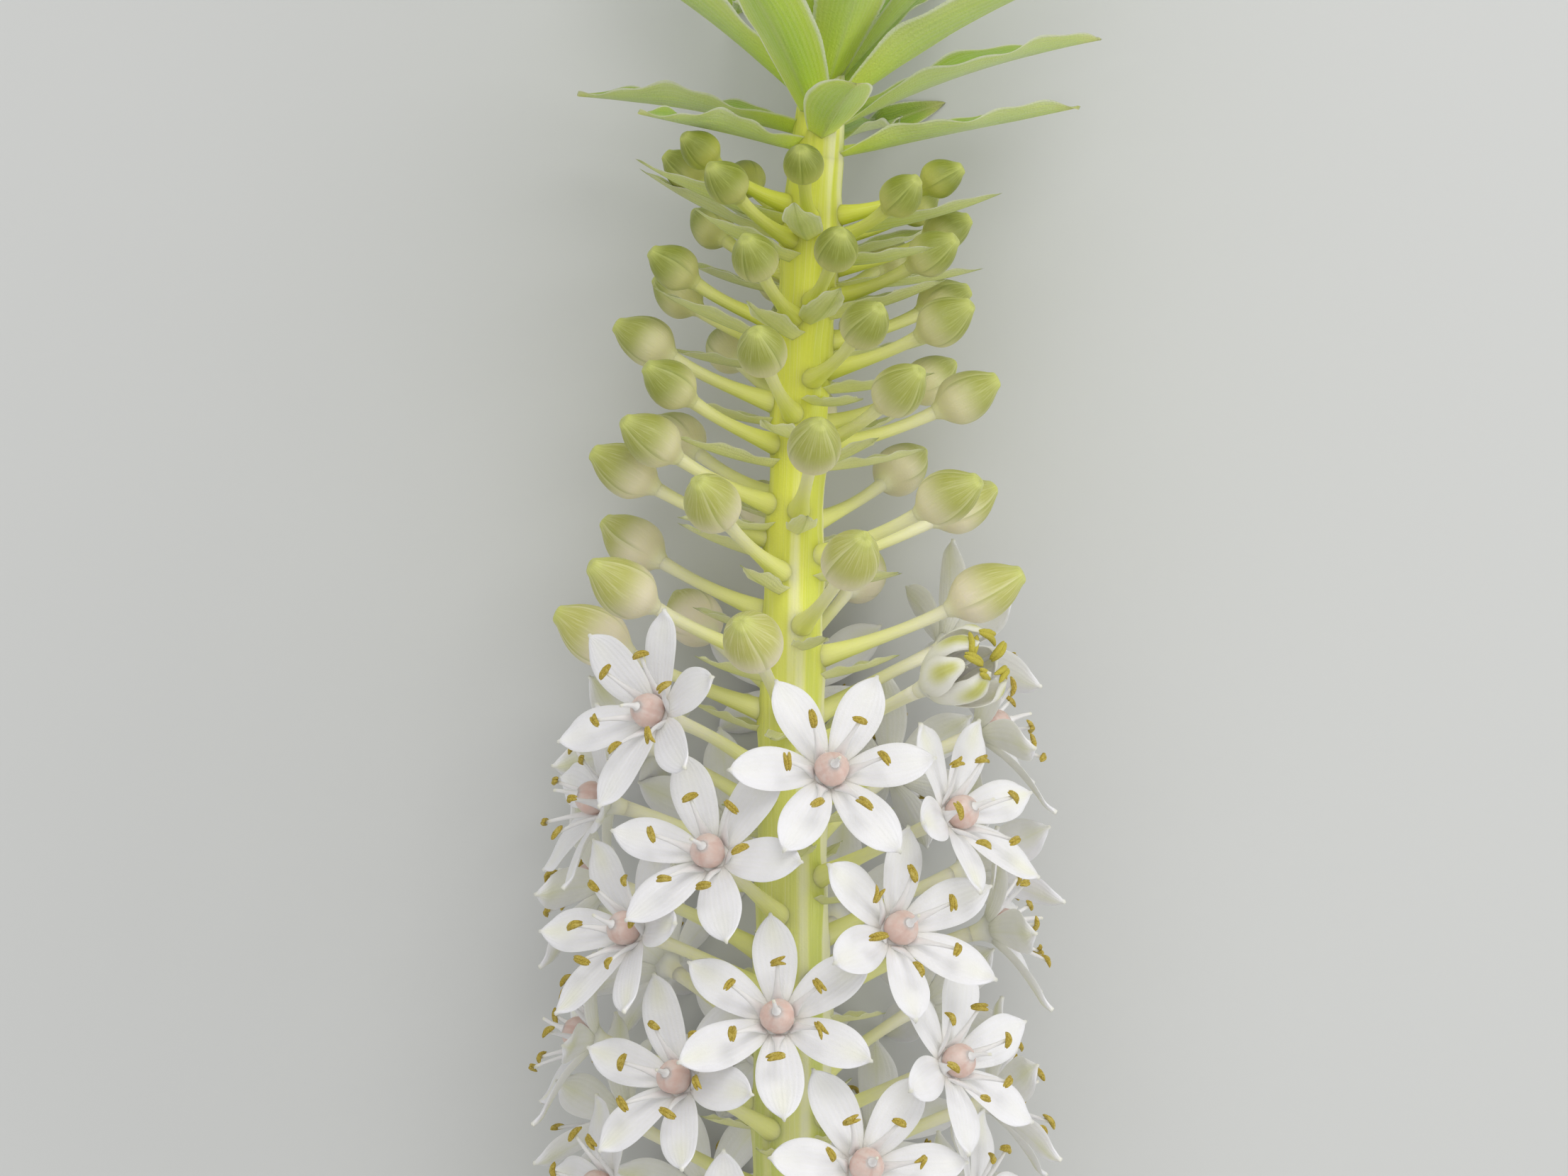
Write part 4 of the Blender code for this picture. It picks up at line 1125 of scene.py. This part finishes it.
def leaf_colours(paint, inner, outer, margin, rib, root, tip, lines):
    """A blade's two sides, veins, rib, pale edges, root and tip. Gives its streaks, for the bump."""
    streaks = paint.streaks((8, 2, 0), 2, 4, 0.6)
    paint.colour = paint.mix((paint.z, 0.3, 0.7), outer, inner)
    veined = paint.times(paint.stripes(lines, 1.5), (paint.y, 1, 0.5, 0.03, 0.15))
    paint.over(veined, margin)
    paint.over((streaks, 0.42, 0.72, 0, 0.24), root)
    paint.over((paint.y, 0.42, 0.02, 0, 0.95), root)
    paint.over(paint.times(paint.centre_line(0.16), 0.55), rib)
    paint.over((paint.math("ABSOLUTE", paint.x), 0.86, 0.98, 0, 0.85), margin)
    paint.over((paint.y, 0.88, 1, 0, 0.8), tip)
    return streaks


def leaf_finish():
    paint = Paint("leaf", 0.54, 0.4, (0.0018, 0.0024, 0.0007), sheen=0.25)
    outer = paint.mix(paint.tint, (0.5, 0.59, 0.25), (0.42, 0.57, 0.078))
    streaks = leaf_colours(
        paint, inner=(0.27, 0.43, 0.04), outer=outer, margin=(0.74, 0.77, 0.52),
        rib=(0.5, 0.59, 0.22), root=(0.6, 0.74, 0.07), tip=(0.6, 0.64, 0.2), lines=15,
    )
    bumps = (paint.stripes(15, 1), 0.00002), (streaks, 0.00007), (paint.cells(3800), 0.00005)
    return paint.done(paint.mottle(900, 0.3, 0.7, 0.46, 0.62), *bumps)


def bract_finish():
    paint = Paint("bract", 0.5, 0.4, (0.0018, 0.0022, 0.001), sheen=0.2)
    streaks = leaf_colours(
        paint,
        inner=paint.mix(paint.tint, (0.79, 0.8, 0.38), (0.45, 0.56, 0.085)),
        outer=paint.mix(paint.tint, (0.79, 0.79, 0.38), (0.51, 0.58, 0.19)),
        margin=(0.83, 0.83, 0.62),
        rib=paint.mix(paint.tint, (0.58, 0.64, 0.17), (0.42, 0.51, 0.11)),
        root=paint.mix(paint.tint, (0.86, 0.85, 0.58), (0.76, 0.79, 0.22)),
        tip=(0.5, 0.58, 0.15),
        lines=9,
    )
    bumps = (paint.stripes(9, 1), 0.00003), (streaks, 0.00005), (paint.cells(4200), 0.00004)
    return paint.done((streaks, 0.35, 0.65, 0.44, 0.56), *bumps)


def stage_and_light():
    """A pale floor, soft light from the crown's end and above, and the camera."""
    bpy.ops.mesh.primitive_plane_add(size=4)
    floor = bpy.context.object
    floor.name = "floor"
    paint = bpy.data.materials.new("floor")
    paint.use_nodes = True
    shader = paint.node_tree.nodes["Principled BSDF"]
    shader.inputs["Base Color"].default_value = FLOOR_COLOUR
    shader.inputs["Roughness"].default_value = 0.9
    floor.data.materials.append(paint)

    scene = bpy.context.scene
    scene.world = bpy.data.worlds.new("studio")
    scene.world.use_nodes = True
    background = scene.world.node_tree.nodes["Background"]
    background.inputs["Color"].default_value = AMBIENT_COLOUR
    background.inputs["Strength"].default_value = AMBIENT_STRENGTH
    for name, place, size, energy, colour in LIGHTS:
        light = bpy.data.lights.new(name, "AREA")
        light.shape = "DISK"
        light.size = size
        light.energy = energy
        light.color = colour
        lamp = bpy.data.objects.new(name, light)
        lamp.location = place
        lamp.rotation_euler = (LIT - Vector(place)).to_track_quat("-Z", "Y").to_euler()
        scene.collection.objects.link(lamp)

    lens = bpy.data.cameras.new("view")
    lens.lens = 100
    lens.sensor_width = 36
    lens.clip_end = 20
    camera = bpy.data.objects.new("view", lens)
    camera.location = CAMERA + SHIFT
    scene.collection.objects.link(camera)
    scene.camera = camera
    scene.view_settings.view_transform = "Standard"


def main():
    stage_and_light()
    florets = [Floret(n) for n in range(FLORETS)]
    flower_finishes = {
        "petal": petal_finish(), "ovary": ovary_finish(), "filament": filament_finish(),
        "anther": anther_finish(), "cup": cup_finish(),
    }
    stem_finish = rachis_finish()
    stem_finishes = {"rachis": stem_finish, "cut": cut_finish(), "stalk": stalk_finish()}
    rachis(florets).object("rachis", "stem", ["stem"], stem_finishes)
    buds, bracts = Skin(), Skin()
    for floret in florets:
        bract(bracts, floret)
        if not floret.open:
            bud(buds, floret)
    buds.object("buds", "stem", ["stem"], {"bud": bud_finish()})
    bracts.object("bracts", "stem", ["stem"], {"bract": bract_finish()})
    crown().object("crown_leaves", "crown", ["crown"], {"leaf": leaf_finish(), "rachis": stem_finish})
    for floret in florets:
        if floret.open:
            flower(floret, flower_finishes)


main()
